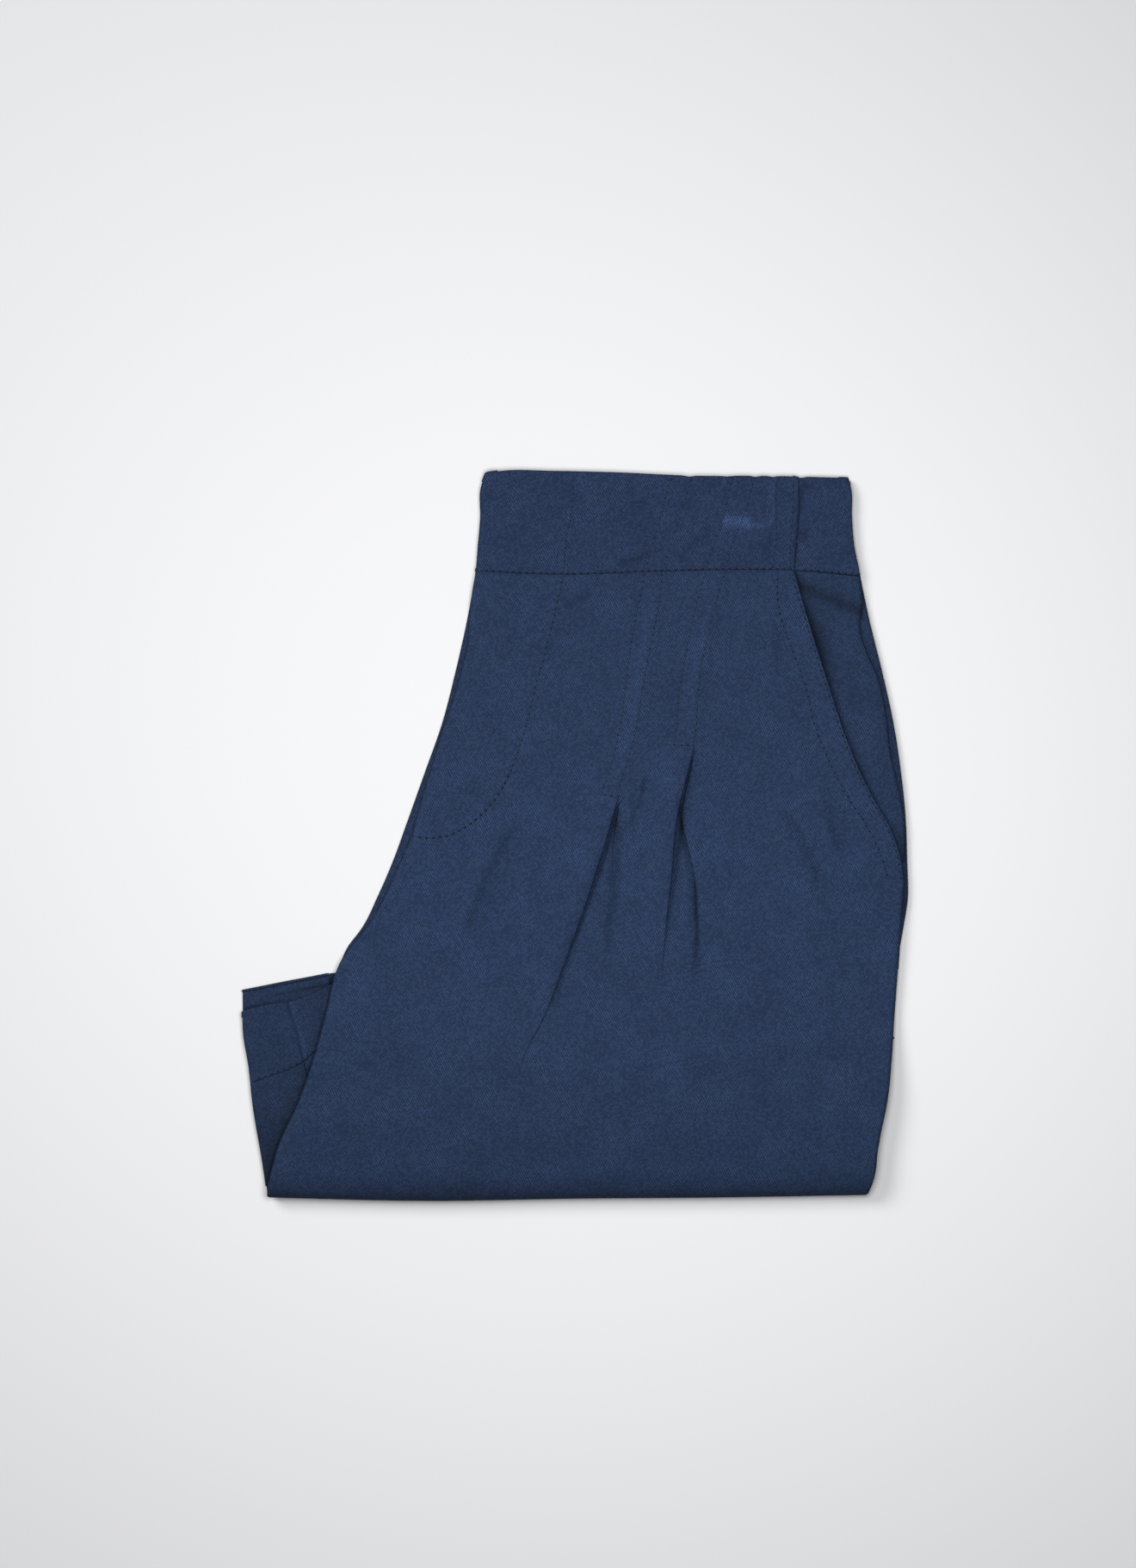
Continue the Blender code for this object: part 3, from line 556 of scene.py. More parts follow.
def frontPaintedLight(x, y):
    # painted shade and highlights: the marks, painted shade under the waist seam, towards the bottom and on
    # the bottom fold's roll, and painted light across the middle
    shade = 1 + lineTone(x, y, frontShadeAndHighlights) - bell("underBand", lineAt(waistSeam, x) - y)
    return shade - growing("foot", -95 - y) - growing("bottomRoll", -160 - y) + bell("lightMiddle", y + 22)


def bandPaintedLight(x, y):
    # the marks, and painted shade just above the waist seam
    return 1 + lineTone(x, y, bandShadeAndHighlights) - bell("aboveSeam", y - lineAt(waistSeam, x))


def bearerPaintedShade(x, y):
    # painted shade in the pocket's mouth, in the slanting fold under the band and along its outer edge;
    # darker towards its lower end
    away = x - frontSide(y)
    mouth = bell("pocketMouth", away - 2.0) * np.exp(-((y - 96) / 18) ** 2)
    mouth = mouth + bell("pocketEdge", away - 0.5)
    under = bell("bearerFold", y - 122 + 0.42 * (x - 110))
    rim = bell("bearerRim", x - edgeAt(bearerEdge, y))
    return np.clip(1.08 - mouth - under - rim - growing("bearerFoot", 12 - y), 0.3, 1.2)


def frontRightTone(x, y):
    # only its rolled edge shows from above, in the left front's shade
    return 1.0 - tail("rightFront", x - outline("left", np.clip(y, -66.9, 128)))


def legPaintedShade(x, y):
    # the turned-up leg darkens downwards, with painted shadow beside the front that covers it and its inseam
    # across it as a painted shade line with a painted highlight beside it
    cover = read(sections, "y", "left", y) - x
    seam = x - edgeAt(inseam, y)
    line = ease((y + 112) / 4) * (bell("inseamLine", seam) - bell("inseamLight", seam - 1.9))
    return 1.0 - tail("besideFront", cover) - growing("legFoot", -105 - y) - line


def legRelief(x, y):
    # the inseam's allowance under the hem, and slack pulled slantwise into its stitching
    seam = x - edgeAt(inseam, y)
    step = 0.45 * ease((seam + 0.6) / 0.8) * ease((6 - seam) / 4) * ease((y + 114) / 4)
    slant = 0.16 * np.sin((x * 0.9 + y * 0.75) / 0.95) * np.exp(-((y + 97) / 8) ** 2) * ease((-133 - x) / 5)
    return step + slant


def hemPaintedShade(x, y):
    # painted shade along the right leg's hem edge where it lies over this hem
    return 1.0 - bell("overHem", y - lineAt(rightHem, x) - 0.5) * ease((-100 - x) / 5)


def frontRelief(x, y):
    seam = lineAt(waistSeam, x)
    pucker = 0.10 * np.sin(x / 1.45 + 2 * np.sin(x / 9.0)) * np.exp(-(seam - y) / 4.0)
    ditch = -0.9 * np.exp(-((seam + 0.9 - y) / 1.1) ** 2)
    return 1.5 * creaseLift(x, y, frontCreases) + 1.3 * undulation(x, y) + pucker + ditch


def bandRelief(x, y):
    seam = lineAt(waistSeam, x)
    pucker = 0.07 * np.sin(x / 1.45 + 2 * np.sin(x / 9.0)) * np.exp(-(y - seam) / 3.0)
    return 1.4 * creaseLift(x, y, bandCreases) + 0.8 * undulation(x, y) + pucker


# materials

def principled(name, **values):
    # a new material and its tree and shader, with the shader's plain values set on its sockets
    made = bpy.data.materials.new(name)
    made.use_nodes = True
    shader = made.node_tree.nodes["Principled BSDF"]
    for key, value in values.items():
        shader.inputs[key.replace("_", " ")].default_value = value
    return made, made.node_tree, shader


twillSpec = {
    "ribAngle": 62.0, "ribSpacing": 1.05, "float": 0.8, "slubScale": 0.4, "slubWander": 1.1,
    "cloudScale": 0.05, "fleckScale": 1.1, "ribShow": (0.03, 0.11), "fleck": 0.07, "yarn": 0.115,
    "level": 0.407, "dye": (0.95, 1.05), "bump": 0.4, "bumpHeight": 0.00012,
}


def twill(name, base, light, dark, p=twillSpec):
    # navy cotton twill, piece dyed: matt, steep diagonal ribs, pale fibre ends between them and cloudy dye
    made, tree, shader = principled(
        name, Roughness=0.86, Specular_IOR_Level=0.16, Sheen_Weight=0.05, Sheen_Roughness=0.45,
        Sheen_Tint=linear("#8fa3c8"),
    )
    place = addNode(tree, "ShaderNodeUVMap", {"uv_map": "cloth"})
    axes = addNode(tree, "ShaderNodeSeparateXYZ", links={0: place.outputs[0]})

    def maths(operation, first, second=None, third=None):
        # each operand is a socket or a number
        links, values = {}, {}
        for key, operand in enumerate((first, second, third)):
            if isinstance(operand, bpy.types.NodeSocket):
                links[key] = operand
            elif operand is not None:
                values[f"in{key}"] = operand
        return addNode(tree, "ShaderNodeMath", {"operation": operation}, links, **values).outputs[0]

    def noise(scale, detail, roughness):
        return addNode(
            tree, "ShaderNodeTexNoise", links={"Vector": place.outputs[0]}, Scale=scale, Detail=detail,
            Roughness=roughness,
        ).outputs["Fac"]

    def spread(source, low, high, toRange):
        return addNode(
            tree, "ShaderNodeMapRange", links={0: source}, in1=low, in2=high, in3=toRange[0], in4=toRange[1]
        ).outputs[0]

    # ribs run down to the right, one every ribSpacing millimetres, and wander with the slubs
    turn = math.radians(p["ribAngle"])
    alongX = maths("MULTIPLY", axes.outputs[0], math.sin(turn) / p["ribSpacing"])
    ribPlace = maths("MULTIPLY_ADD", axes.outputs[1], math.cos(turn) / p["ribSpacing"], alongX)
    wander = maths("MULTIPLY_ADD", noise(p["slubScale"], 3.0, 0.5), p["slubWander"], ribPlace)
    rib = maths("SINE", maths("MULTIPLY", wander, 2 * math.pi))
    # each float of yarn took the dye a little differently: one even tone for each rib and float of its run
    acrossRun = maths("MULTIPLY", axes.outputs[0], math.cos(turn) / p["float"])
    runPlace = maths("MULTIPLY_ADD", axes.outputs[1], -math.sin(turn) / p["float"], acrossRun)
    yarn = addNode(
        tree, "ShaderNodeCombineXYZ", links={0: maths("FLOOR", wander), 1: maths("FLOOR", runPlace)}
    )
    yarnTone = addNode(
        tree, "ShaderNodeTexWhiteNoise", {"noise_dimensions": "2D"}, {"Vector": yarn.outputs[0]}
    )
    # the dye is cloudy over 2 cm and flecked over 1 mm, and the ribs show more in some places
    cloud = noise(p["cloudScale"], 3.0, 0.5)
    fleck = noise(p["fleckScale"], 2.0, 0.6)
    ribShow = spread(cloud, 0.35, 0.65, p["ribShow"])
    ribTone = maths("MULTIPLY_ADD", rib, ribShow, p["level"])
    fleckTone = maths("MULTIPLY_ADD", fleck, p["fleck"], ribTone)
    yarnShade = maths("MULTIPLY_ADD", yarnTone.outputs["Value"], p["yarn"], fleckTone)
    colour = addNode(tree, "ShaderNodeValToRGB", links={0: yarnShade})
    colour.color_ramp.elements[0].position = 0.25
    colour.color_ramp.elements[0].color = linear(dark)
    colour.color_ramp.elements[1].position = 0.75
    colour.color_ramp.elements[1].color = linear(light)
    middle = colour.color_ramp.elements.new(0.5)
    middle.color = linear(base)
    # the tone attribute is painted shade and painted highlight, multiplied into the cloudy dye
    paintedShading = addNode(tree, "ShaderNodeAttribute", {"attribute_name": "tone"})
    shade = maths("MULTIPLY", spread(cloud, 0.3, 0.7, p["dye"]), paintedShading.outputs["Fac"])
    tone = addNode(
        tree, "ShaderNodeVectorMath", {"operation": "MULTIPLY"}, {0: colour.outputs[0], 1: shade}
    )
    tree.links.new(tone.outputs[0], shader.inputs["Base Color"])
    height = maths("MULTIPLY_ADD", fleck, 0.8, rib)
    bump = addNode(
        tree, "ShaderNodeBump", links={"Height": height}, Strength=p["bump"], Distance=p["bumpHeight"]
    )
    tree.links.new(bump.outputs[0], shader.inputs["Normal"])
    return made


def thread(name, colour, roughness):
    # spun polyester sewing thread, a shade off the cloth; the needle holes take the same material near black,
    # as painted shade in the holes
    made, tree, shader = principled(name, Roughness=roughness, Specular_IOR_Level=0.3)
    place = addNode(tree, "ShaderNodeTexCoord")
    ply = addNode(
        tree, "ShaderNodeTexWave", {"wave_type": "BANDS", "bands_direction": "DIAGONAL"},
        {"Vector": place.outputs["Object"]}, Scale=1400.0, Distortion=1.5,
    )
    mixed = addNode(tree, "ShaderNodeMix", {"data_type": "RGBA"}, {0: ply.outputs["Fac"]})
    mixed.inputs[6].default_value = linear(colour)
    mixed.inputs[7].default_value = tuple(0.72 * c for c in linear(colour)[:3]) + (1.0,)
    tree.links.new(mixed.outputs[2], shader.inputs["Base Color"])
    return made


navyTwill = twill("navyCottonTwill", "#23334f", "#3f567d", "#0f182c")
# a darker copy of the same twill: painted shade for the lower pieces under the upper layers
navyTwillShade = twill("navyCottonTwillInside", "#202f49", "#3a4f73", "#0e1629")
navyTwillBand = twill("navyCottonTwillBand", "#22314d", "#3e547b", "#0f172b")
navyThread = thread("navySewingThread", "#26334d", 0.6)
needleHoleShade = thread("needleHoleShade", "#121a2e", 0.9)
print("materials made")

# left front, from its hem stitching on the underside, round the bottom fold, up to the waist seam

leftFront = {
    "rowsUnder": 22, "rowsFold": 14, "rowsTop": 180, "counts": (42, 12, 30), "wall": 0.4,
    "centreRoll": (2.4, 1.6), "sideRoll": (2.2, 1.9), "pocketRoll": (0.75, 0.62), "bars": (19.7, 44.5),
}


def frontFolds(rows, bars=None, scale=1.0):
    # without bars the tucks are sewn down all the way
    folds = []
    for n in (1, 2):
        folds.append({
            "fold": lambda y, n=n: read(rows, "y", f"tuck{n}", y),
            "stitch": lambda y, n=n: read(rows, "y", f"stitch{n}", y),
            "openness": lambda y, n=n: ease((bars[n - 1] - y) / 5) if bars else 0 * y,
            "height": lambda y, n=n: scale * read(tuckHeights, "y", f"tuck{n}", y),
            "wide": lambda y, n=n: read(tuckHeights, "y", f"wide{n}", y),
            "deep": lambda y, n=n: scale * read(tuckHeights, "y", f"deep{n}", y),
        })
    return folds


def buildLeftFront(p):
    under = np.arange(p["rowsUnder"]) / p["rowsUnder"]
    turn = np.pi * (np.arange(p["rowsFold"]) / p["rowsFold"] - 0.5)
    top = np.arange(p["rowsTop"] + 1) / p["rowsTop"]
    facing = np.concatenate([-1 + 0 * under, np.sin(turn), 1 + 0 * top])
    onUnder = (1 - facing) / 2
    # shares of the way through the underside, the fold and the upper side, row by row
    underShare = np.concatenate([under, 1 + 0 * turn, 1 + 0 * top])
    foldTurn = np.concatenate([-np.pi / 2 + 0 * under, turn, np.pi / 2 + 0 * top])
    topShare = np.concatenate([0 * under, 0 * turn, top])
    isTop = np.arange(len(facing)) >= len(under) + len(turn)

    def rowPlace(x):
        turnY = lineAt(bottomFold, x) + stack["rollDepth"]
        hemY = lineAt(leftHemStitch, x) - 0.3
        seamY = lineAt(waistSeam, x) + 0.7
        yTop = turnY + (seamY - turnY) * topShare
        yUnder = hemY + (turnY - hemY) * underShare - stack["rollDepth"] * np.cos(foldTurn)
        rolled = topHeight(x, turnY) / 2 * (1 + np.sin(foldTurn))
        return np.where(isTop, yTop, yUnder), facing, np.where(isTop, topHeight(x, yTop), rolled)

    def left(y):
        edge = read(sections, "y", "left", y)
        return edge + onUnder * (legLeft(y) - edge)

    def right(y):
        edge = frontSide(y)
        return edge + onUnder * (outline("side", y) - edge)

    def pocket(y):
        return ease((y + 40) / 35) * np.maximum(facing, 0)

    sideRoll = rollAt(
        lambda y: p["sideRoll"][0] + (p["pocketRoll"][0] - p["sideRoll"][0]) * pocket(y),
        lambda y: p["sideRoll"][1] + (p["pocketRoll"][1] - p["sideRoll"][1]) * pocket(y),
    )
    centreRoll = rollAt(lambda y: p["centreRoll"][0] + 0 * y, lambda y: p["centreRoll"][1] - 0.3 * onUnder)

    def relief(x, y):
        away = frontSide(y) - x
        along = ease((y + 5) / 50) * ease((126 - y) / 26)
        lip = 1.2 * along * ease(1 - away / 16) - 0.25 * along * np.exp(-((away - 2.2) / 0.9) ** 2)
        return frontRelief(x, y) + lip

    columns = across(left, right, p["counts"], centreRoll, sideRoll, frontFolds(sections, p["bars"]))
    points = layCloth(columns, rowPlace, relief=relief)
    return clothObject("frontLeftCloth", points, p["wall"], navyTwill, tone=frontPaintedLight)


frontLeft = buildLeftFront(leftFront)
finishCloth(frontLeft, ["front_left"])

# waistbands: front band of each side, with the tucks running up through it, and its side piece

band = {
    "wall": 0.5, "centreRoll": (2.8, 2.2), "endRoll": (0.6, 0.5, 2.0), "sideRoll": (1.2, 1.0),
    "topRoll": (0.9, 0.8, 2.5), "seamRoll": (0.6, 0.45, 1.0), "rows": 44,
}


def bandCloth(name, columns, z, up):
    points = flatCloth(
        columns, lambda x: lineAt(waistSeam, x) + 0.1, bandTopAt, band["rows"], lambda x, y: z,
        band["seamRoll"], band["topRoll"], up, bandRelief if up > 0 else None,
    )
    tone = bandPaintedLight if up > 0 else None
    return clothObject(name, points, band["wall"], navyTwillBand, flip=up < 0, tone=tone)


def buildBand(name, z, up, counts, tuckScale):
    columns = across(
        lambda y: outline("left", np.clip(y, 130, 178)), lambda y: edgeAt(bandEnd, y), counts,
        rollAt(*band["centreRoll"]), rollAt(*band["endRoll"]), frontFolds(bandTucks, scale=tuckScale),
    )
    return bandCloth(name, columns, z, up)


def buildBandSide(name, z, up, start):
    columns = across(
        lambda y: edgeAt(bandEnd, y) + start, lambda y: outline("side", np.clip(y, 130, 178)), (14,),
        None, rollAt(*band["sideRoll"]),
    )
    return bandCloth(name, columns, z, up)


bandLeft = buildBand("waistbandLeft", stack["band"] - 0.55, 1.0, (42, 16, 18), 0.9)
finishCloth(bandLeft, ["waistband_front_left"])
bandSideLeft = buildBandSide("waistbandSideLeft", stack["band"] - 1.3, 1.0, -9.0)
finishCloth(bandSideLeft, ["waistband_side_left"])
bandRight = buildBand("waistbandRight", 0.6, -1.0, (20, 6, 6), 0.6)
finishCloth(bandRight, ["waistband_front_right"])
bandSideRight = buildBandSide("waistbandSideRight", 0.9, -1.0, 0.3)
finishCloth(bandSideRight, ["waistband_side_right"])

# pocket bearers and the left back's turned edge

bearer = {"wall": 0.4, "end": -13.0, "drop": 1.65, "tuckedIn": 10.0}


def buildBearerLeft(p):
    columns = across(
        lambda y: frontSide(y) - p["tuckedIn"], lambda y: edgeAt(bearerEdge, y), (26,), None, rollAt(1.2, 0.7)
    )

    def height(x, y):
        away = x - frontSide(y)
        hollow = -0.6 * np.exp(-((away - 1) / 7) ** 2) * ease((y + 5) / 40)
        return topHeight(x, y) - p["drop"] + hollow

    def relief(x, y):
        sag = creaseLift(x, y, [([(112, 122), (128, 119), (140, 115)], 4.0, -0.7, 0.2)])
        return sag + 0.5 * undulation(x, y) + 0.3 * np.exp(-((x - edgeAt(bearerEdge, y) + 5) / 3) ** 2)

    points = flatCloth(
        columns, lambda x: p["end"] + 0 * x, lambda x: lineAt(waistSeam, x) - 0.3, 64, height, relief=relief
    )
    return clothObject("pocketBearerLeft", points, p["wall"], navyTwillShade, tone=bearerPaintedShade)


bearerLeft = buildBearerLeft(bearer)
finishCloth(bearerLeft, ["pocket_bearer_left"])


def buildUFold(name, start, reach, low, high, steps, bottom, top, counts, material, wall, highRoll=None,
               flip=False, tone=None, relief=None):
    # a doubled layer: in along the bottom, round the outer edge at start, and back along the top
    # start and reach are functions of y; reach lies to the right when the fold is on the left
    half = (top - bottom) / 2
    place, drop = rollRows(low, high, steps, None, highRoll)
    angles = np.radians([-90, -60, -30, 0, 30, 60, 90])
    spec = [(n / counts, None, bottom) for n in range(counts)]
    spec += [(None, a, None) for a in angles]
    spec += [(1 - n / counts, None, top) for n in range(1, counts + 1)]
    points = []
    for share, angle, z in spec:
        x = 0 * place(0.0)
        for _ in range(4):
            y = place(x)
            edge, inner = start(y), reach(y)
            side = np.sign(inner - edge)
            flat = edge + side * half
            x = flat - side * half * math.cos(angle) if share is None else inner + (flat - inner) * share
        if share is None:
            height = (top + bottom) / 2 + half * math.sin(angle) + 0 * x
            fall = drop * math.sin(angle)
        else:
            height = z + (relief(x, y) if relief and z == top else 0 * x)
            fall = drop * (1 if z == top else -1)
        points.append(np.stack([x, y, height - np.clip(fall, -half, half)], axis=1))
    return clothObject(name, np.array(points), wall, material, flip=flip, tone=tone)


def backEdge(y):
    # out at the side seam, and in under the front below the pocket
    side = outline("side", np.minimum(y, 127.5))
    return side + ease((-30 - y) / 50) * (frontSide(y) - 1.5 - side)


def backTone(x, y):
    # the front's and the bearer's shade lies along it
    cover = np.maximum(edgeAt(bearerEdge, y), frontSide(y))
    return 1.0 - bell("backRim", x - cover)


def buildBackLeft():
    return buildUFold(
        "backLeftCloth", backEdge, lambda y: backEdge(y) - 13, lambda x: -84 + 0 * x,
        lambda x: lineAt(waistSeam, x) + 0.6, 110, stack["backBottom"], stack["backTop"], 6, navyTwillShade,
        0.4, flip=True, tone=backTone,
    )


backLeft = buildBackLeft()

# right front and its bearer, face down: the side that rests on the floor

rightFront = {
    "counts": (30, 10, 22), "rows": 110, "wall": 0.42, "centreRoll": (2.0, 0.85), "pocketRoll": (0.75, 0.5),
}


def buildRightFront(p):
    columns = across(
        lambda y: outline("left", np.clip(y, -66.9, 128)),
        lambda y: np.minimum(frontSide(np.maximum(y, -18)), outline("side", y) - 1.5),
        p["counts"], rollAt(*p["centreRoll"]), rollAt(*p["pocketRoll"]), frontFolds(sections, scale=0.55),
    )
    points = flatCloth(
        columns, lambda x: lineAt(leftHem, x) + 0.9, lambda x: lineAt(waistSeam, x) - 0.3, p["rows"],
        lambda x, y: 0.5, up=-1.0,
    )
    return clothObject("frontRightCloth", points, p["wall"], navyTwill, flip=True, tone=frontRightTone)


frontRight = buildRightFront(rightFront)
finishCloth(frontRight, ["front_right"])

bearerRight = clothObject(
    "pocketBearerRight",
    flatCloth(
        across(lambda y: frontSide(y) - 6, lambda y: outline("side", y) - 0.4, (10,), None, rollAt(1.0, 0.4)),
        lambda x: 4 + 0 * x, lambda x: lineAt(waistSeam, x) - 0.3, 50, lambda x, y: 1.1, up=-1.0,
    ),
    0.35, navyTwillShade, flip=True,
)
finishCloth(bearerRight, ["pocket_bearer_right"])

# the legs where they stick out at the left

legs = {"wall": 0.42, "hemRoll": (1.2, 0.55, 2.0)}


def underFront(y):
    return read(sections, "y", "left", y) + 12


def buildRightLeg(p):
    bottom, top = stack["rightLegBottom"], stack["rightLegTop"]
    hem = buildUFold(
        "hemRightCloth", legLeft, underFront, lambda x: lineAt(rightHemStitch, x) + 0.15,
        lambda x: lineAt(rightHem, x), 40, bottom, top, 76, navyTwillShade, p["wall"], highRoll=p["hemRoll"],
        tone=legPaintedShade, relief=legRelief,
    )
    back = buildUFold(
        "backRightLegCloth", lambda y: outline("left", y), lambda y: edgeAt(inseam, y) - 0.15,
        lambda x: -171 + 0 * x, lambda x: lineAt(rightHemStitch, x) - 0.15, 34, bottom, top, 16,
        navyTwillShade, p["wall"], tone=legPaintedShade,
    )
    front = clothObject(
        "frontRightLegCloth",
        flatCloth(
            across(lambda y: edgeAt(inseam, y) + 0.15, underFront, (14,), rollAt(0.5, 0.4)),
            lambda x: -128 + 0 * x, lambda x: lineAt(rightHemStitch, x) - 0.3, 18, lambda x, y: top,
        ),
        p["wall"], navyTwillShade, tone=legPaintedShade,
    )
    return hem, back, front


hemRightPiece, backRightLeg, frontRightLeg = buildRightLeg(legs)
finishCloth(hemRightPiece, ["hem_right"])
finishCloth(backRightLeg, ["back_right_leg"])
finishCloth(frontRightLeg, ["front_right_leg"])


def buildLeftHem(p):
    def stitchLine(x):
        return lineAt(leftHemStitch, x) + 0.3

    return clothObject(
        "hemLeftCloth",
        flatCloth(
            across(legLeft, lambda y: outline("side", y), (120,), rollAt(2.2, 1.3, 40.0), rollAt(1.2, 0.6)),
            stitchLine, lambda x: lineAt(leftHem, x), 26, lambda x, y: 0.02, None, (0.7, 0.45, 0.0), up=-1.0,
        ),
        p["wall"], navyTwillShade, flip=True, tone=hemPaintedShade,
    )


hemLeftPiece = buildLeftHem(legs)
finishCloth(hemLeftPiece, ["hem_left"])

# hidden layers: both backs, the pocket bags and the legs' inner sides, as stacked folded edges

inner = {"layers": 3, "wall": 0.5, "bottom": 1.5, "inset": 2.6}


def buildInner(p):
    def left(y):
        return np.where(y > 128, outline("left", y), read(sections, "y", "left", y)) + p["inset"]

    def right(y):
        body = np.where(y > -86, outline("side", y) - 13.5, frontSide(y) - 1.6)
        return np.where(y > 128, outline("side", y) - 2.0, body)

    made = []
    for n in range(p["layers"]):
        def height(x, y, n=n):
            high = np.where(y > 128, stack["band"] - 3.2, topHeight(x, y) - 3.1)
            high = np.where((y < -62) & (x < underFront(y) + 2), np.maximum(high, 6.4), high)
            return p["bottom"] + (high - p["bottom"]) * (n + 1) / p["layers"]

        def half(y, n=n):
            return np.clip((height(0 * y, y) - p["bottom"]) / (n + 1) / 2 - 0.15, 0.4, 3.0)

        columns = across(left, right, (60,), rollAt(1.6, half), rollAt(1.6, half))
        made.append(clothObject(
            f"innerLayer{n}",
            flatCloth(
                columns, lambda x: lineAt(bottomFold, x) + 5.5, lambda x: lineAt(bandTop, x) - 2.5 - n, 90,
                height, (1.5, 0.6, 2.0), (1.0, 0.6, 2.0),
            ),
            p["wall"], navyTwillShade,
        ))
    bpy.ops.object.select_all(action="DESELECT")
    for piece in made:
        piece.select_set(True)
    bpy.context.view_layer.objects.active = made[0]
    bpy.ops.object.join()
    made[0].name = "innerLayers"
    return made[0]


innerLayers = buildInner(inner)
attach(innerLayers, "root")
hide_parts("folded_core")
finishCloth(backLeft, ["back_left"])

# stitching: one modelled stitch and its two needle holes, dark ellipsoids of painted shade, copied along
# every row

stitching = {
    "pitch": 3.3, "length": 2.2, "wide": 0.5, "tall": 0.24, "holeLong": 0.5, "holeWide": 0.4,
    "holeTall": 0.09, "sink": 0.02, "uneven": 0.08, "maxStep": 0.5, "lowest": 0.02,
}


def modelled(segments, rings, scale):
    # a small sphere shaped by its scale, kept as points and faces
    bpy.ops.object.select_all(action="DESELECT")
    bpy.ops.mesh.primitive_uv_sphere_add(segments=segments, ring_count=rings, radius=1)
    model = bpy.context.object
    model.scale = scale
    bpy.ops.object.transform_apply(scale=True)
    points = np.array([vertex.co[:] for vertex in model.data.vertices])
    faces = [tuple(face.vertices) for face in model.data.polygons]
    bpy.data.objects.remove(model)
    return points, faces


def smoothPath(points):
    # a soft curve through read-off points
    path = np.array(points, dtype=float)
    along = np.concatenate([[0], np.cumsum(np.linalg.norm(np.diff(path, axis=0), axis=1))])
    rows = {"s": along, "x": path[:, 0], "y": path[:, 1]}
    s = np.linspace(0, along[-1], max(60, len(path) * 6))
    return np.stack([read(rows, "s", "x", s), read(rows, "s", "y", s)], axis=1)


def sewRows(name, piece, rows, up=1.0, p=stitching):
    mesh = piece.data
    tree = BVHTree.FromPolygons([v.co for v in mesh.vertices], [f.vertices for f in mesh.polygons])
    # the stitch takes the first material, its needle hole, a near-black ellipsoid of painted shade, the
    # second
    parts = [
        modelled(8, 5, (p["length"] / 2, p["wide"] / 2, p["tall"])),
        modelled(7, 3, (p["holeLong"], p["holeWide"], p["holeTall"])),
    ]
    places = np.random.default_rng(len(rows) * 7 + 3)
    points, faces, slots = [], [], []
    total = 0
    for strength, row in rows:
        path = smoothPath(row)
        along = np.concatenate([[0], np.cumsum(np.linalg.norm(np.diff(path, axis=0), axis=1))])

        def on(distance):
            x, y = np.interp(distance, along, path[:, 0]), np.interp(distance, along, path[:, 1])
            hit = tree.ray_cast((x * mm, y * mm, up * 0.1), (0, 0, -up))
            return (np.array(hit[0]), np.array(hit[1])) if hit[0] is not None else (None, None)

        for centre in np.arange(p["pitch"] / 2, along[-1], p["pitch"]):
            centre += places.normal(0, p["uneven"])
            start, normal = on(centre - p["length"] / 2)
            end, _ = on(centre + p["length"] / 2)
            hole, _ = on(centre + p["pitch"] / 2)
            if start is None or end is None or hole is None or abs(start[2] - end[2]) > p["maxStep"] * mm:
                continue
            run = (end - start) / np.linalg.norm(end - start)
            side = np.cross(normal, run)
            side /= np.linalg.norm(side)
            out = np.cross(run, side)
            for slot, ((shape, shapeFaces), at) in enumerate(zip(parts, ((start + end) / 2, hole))):
                size = strength if slot else 1.0
                placed = size * (shape[:, :1] * run + shape[:, 1:2] * side) + shape[:, 2:] * out
                points.append(at - out * p["sink"] * mm + placed * mm)
                faces += [tuple(n + total for n in face) for face in shapeFaces]
                slots += [slot] * len(shapeFaces)
                total += len(shape)
    mesh = bpy.data.meshes.new(name)
    sewnPoints = np.concatenate(points)
    sewnPoints[:, 2] = np.maximum(sewnPoints[:, 2], p["lowest"] * mm)
    mesh.from_pydata(sewnPoints.tolist(), [], faces)
    mesh.materials.append(navyThread)
    mesh.materials.append(needleHoleShade)
    mesh.polygons.foreach_set("material_index", slots)
    mesh.shade_smooth()
    sewn = bpy.data.objects.new(name, mesh)
    bpy.context.scene.collection.objects.link(sewn)
    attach(sewn, "root")
    print("stitching:", name, len(faces), "faces")
    return sewn


def tuckRow(rows, column, low, high, steps=14):
    return [(read(rows, "y", column, y), y) for y in np.linspace(low, high, steps)]


flyRow = [
    (-5.9, 126.8), (-7.6, 118), (-9.4, 110.3), (-11.9, 99.5), (-14.4, 89.7), (-18.6, 75), (-23.3, 55),
    (-28, 40.3), (-31.2, 31.9), (-36.4, 21.4), (-43.8, 12), (-52.7, 4.6), (-64.3, -0.6),
    (-71, -1.2), (-79, -0.4),
]
pocketRow = [
    (98.6, 128), (99.1, 113.4), (100.4, 106.7), (103.7, 97), (107.9, 85.7), (110.9, 77.3), (114.2, 66.4),
    (116.3, 56.3), (119.7, 46.6), (122.6, 39.5), (127.7, 28.6), (132.3, 20.2), (141.5, 6.3),
    (148.7, -8), (152.5, -20),
]
pocketEdgeRow = [(float(frontSide(y)) - 1.5, y) for y in np.linspace(-24, 127, 16)]
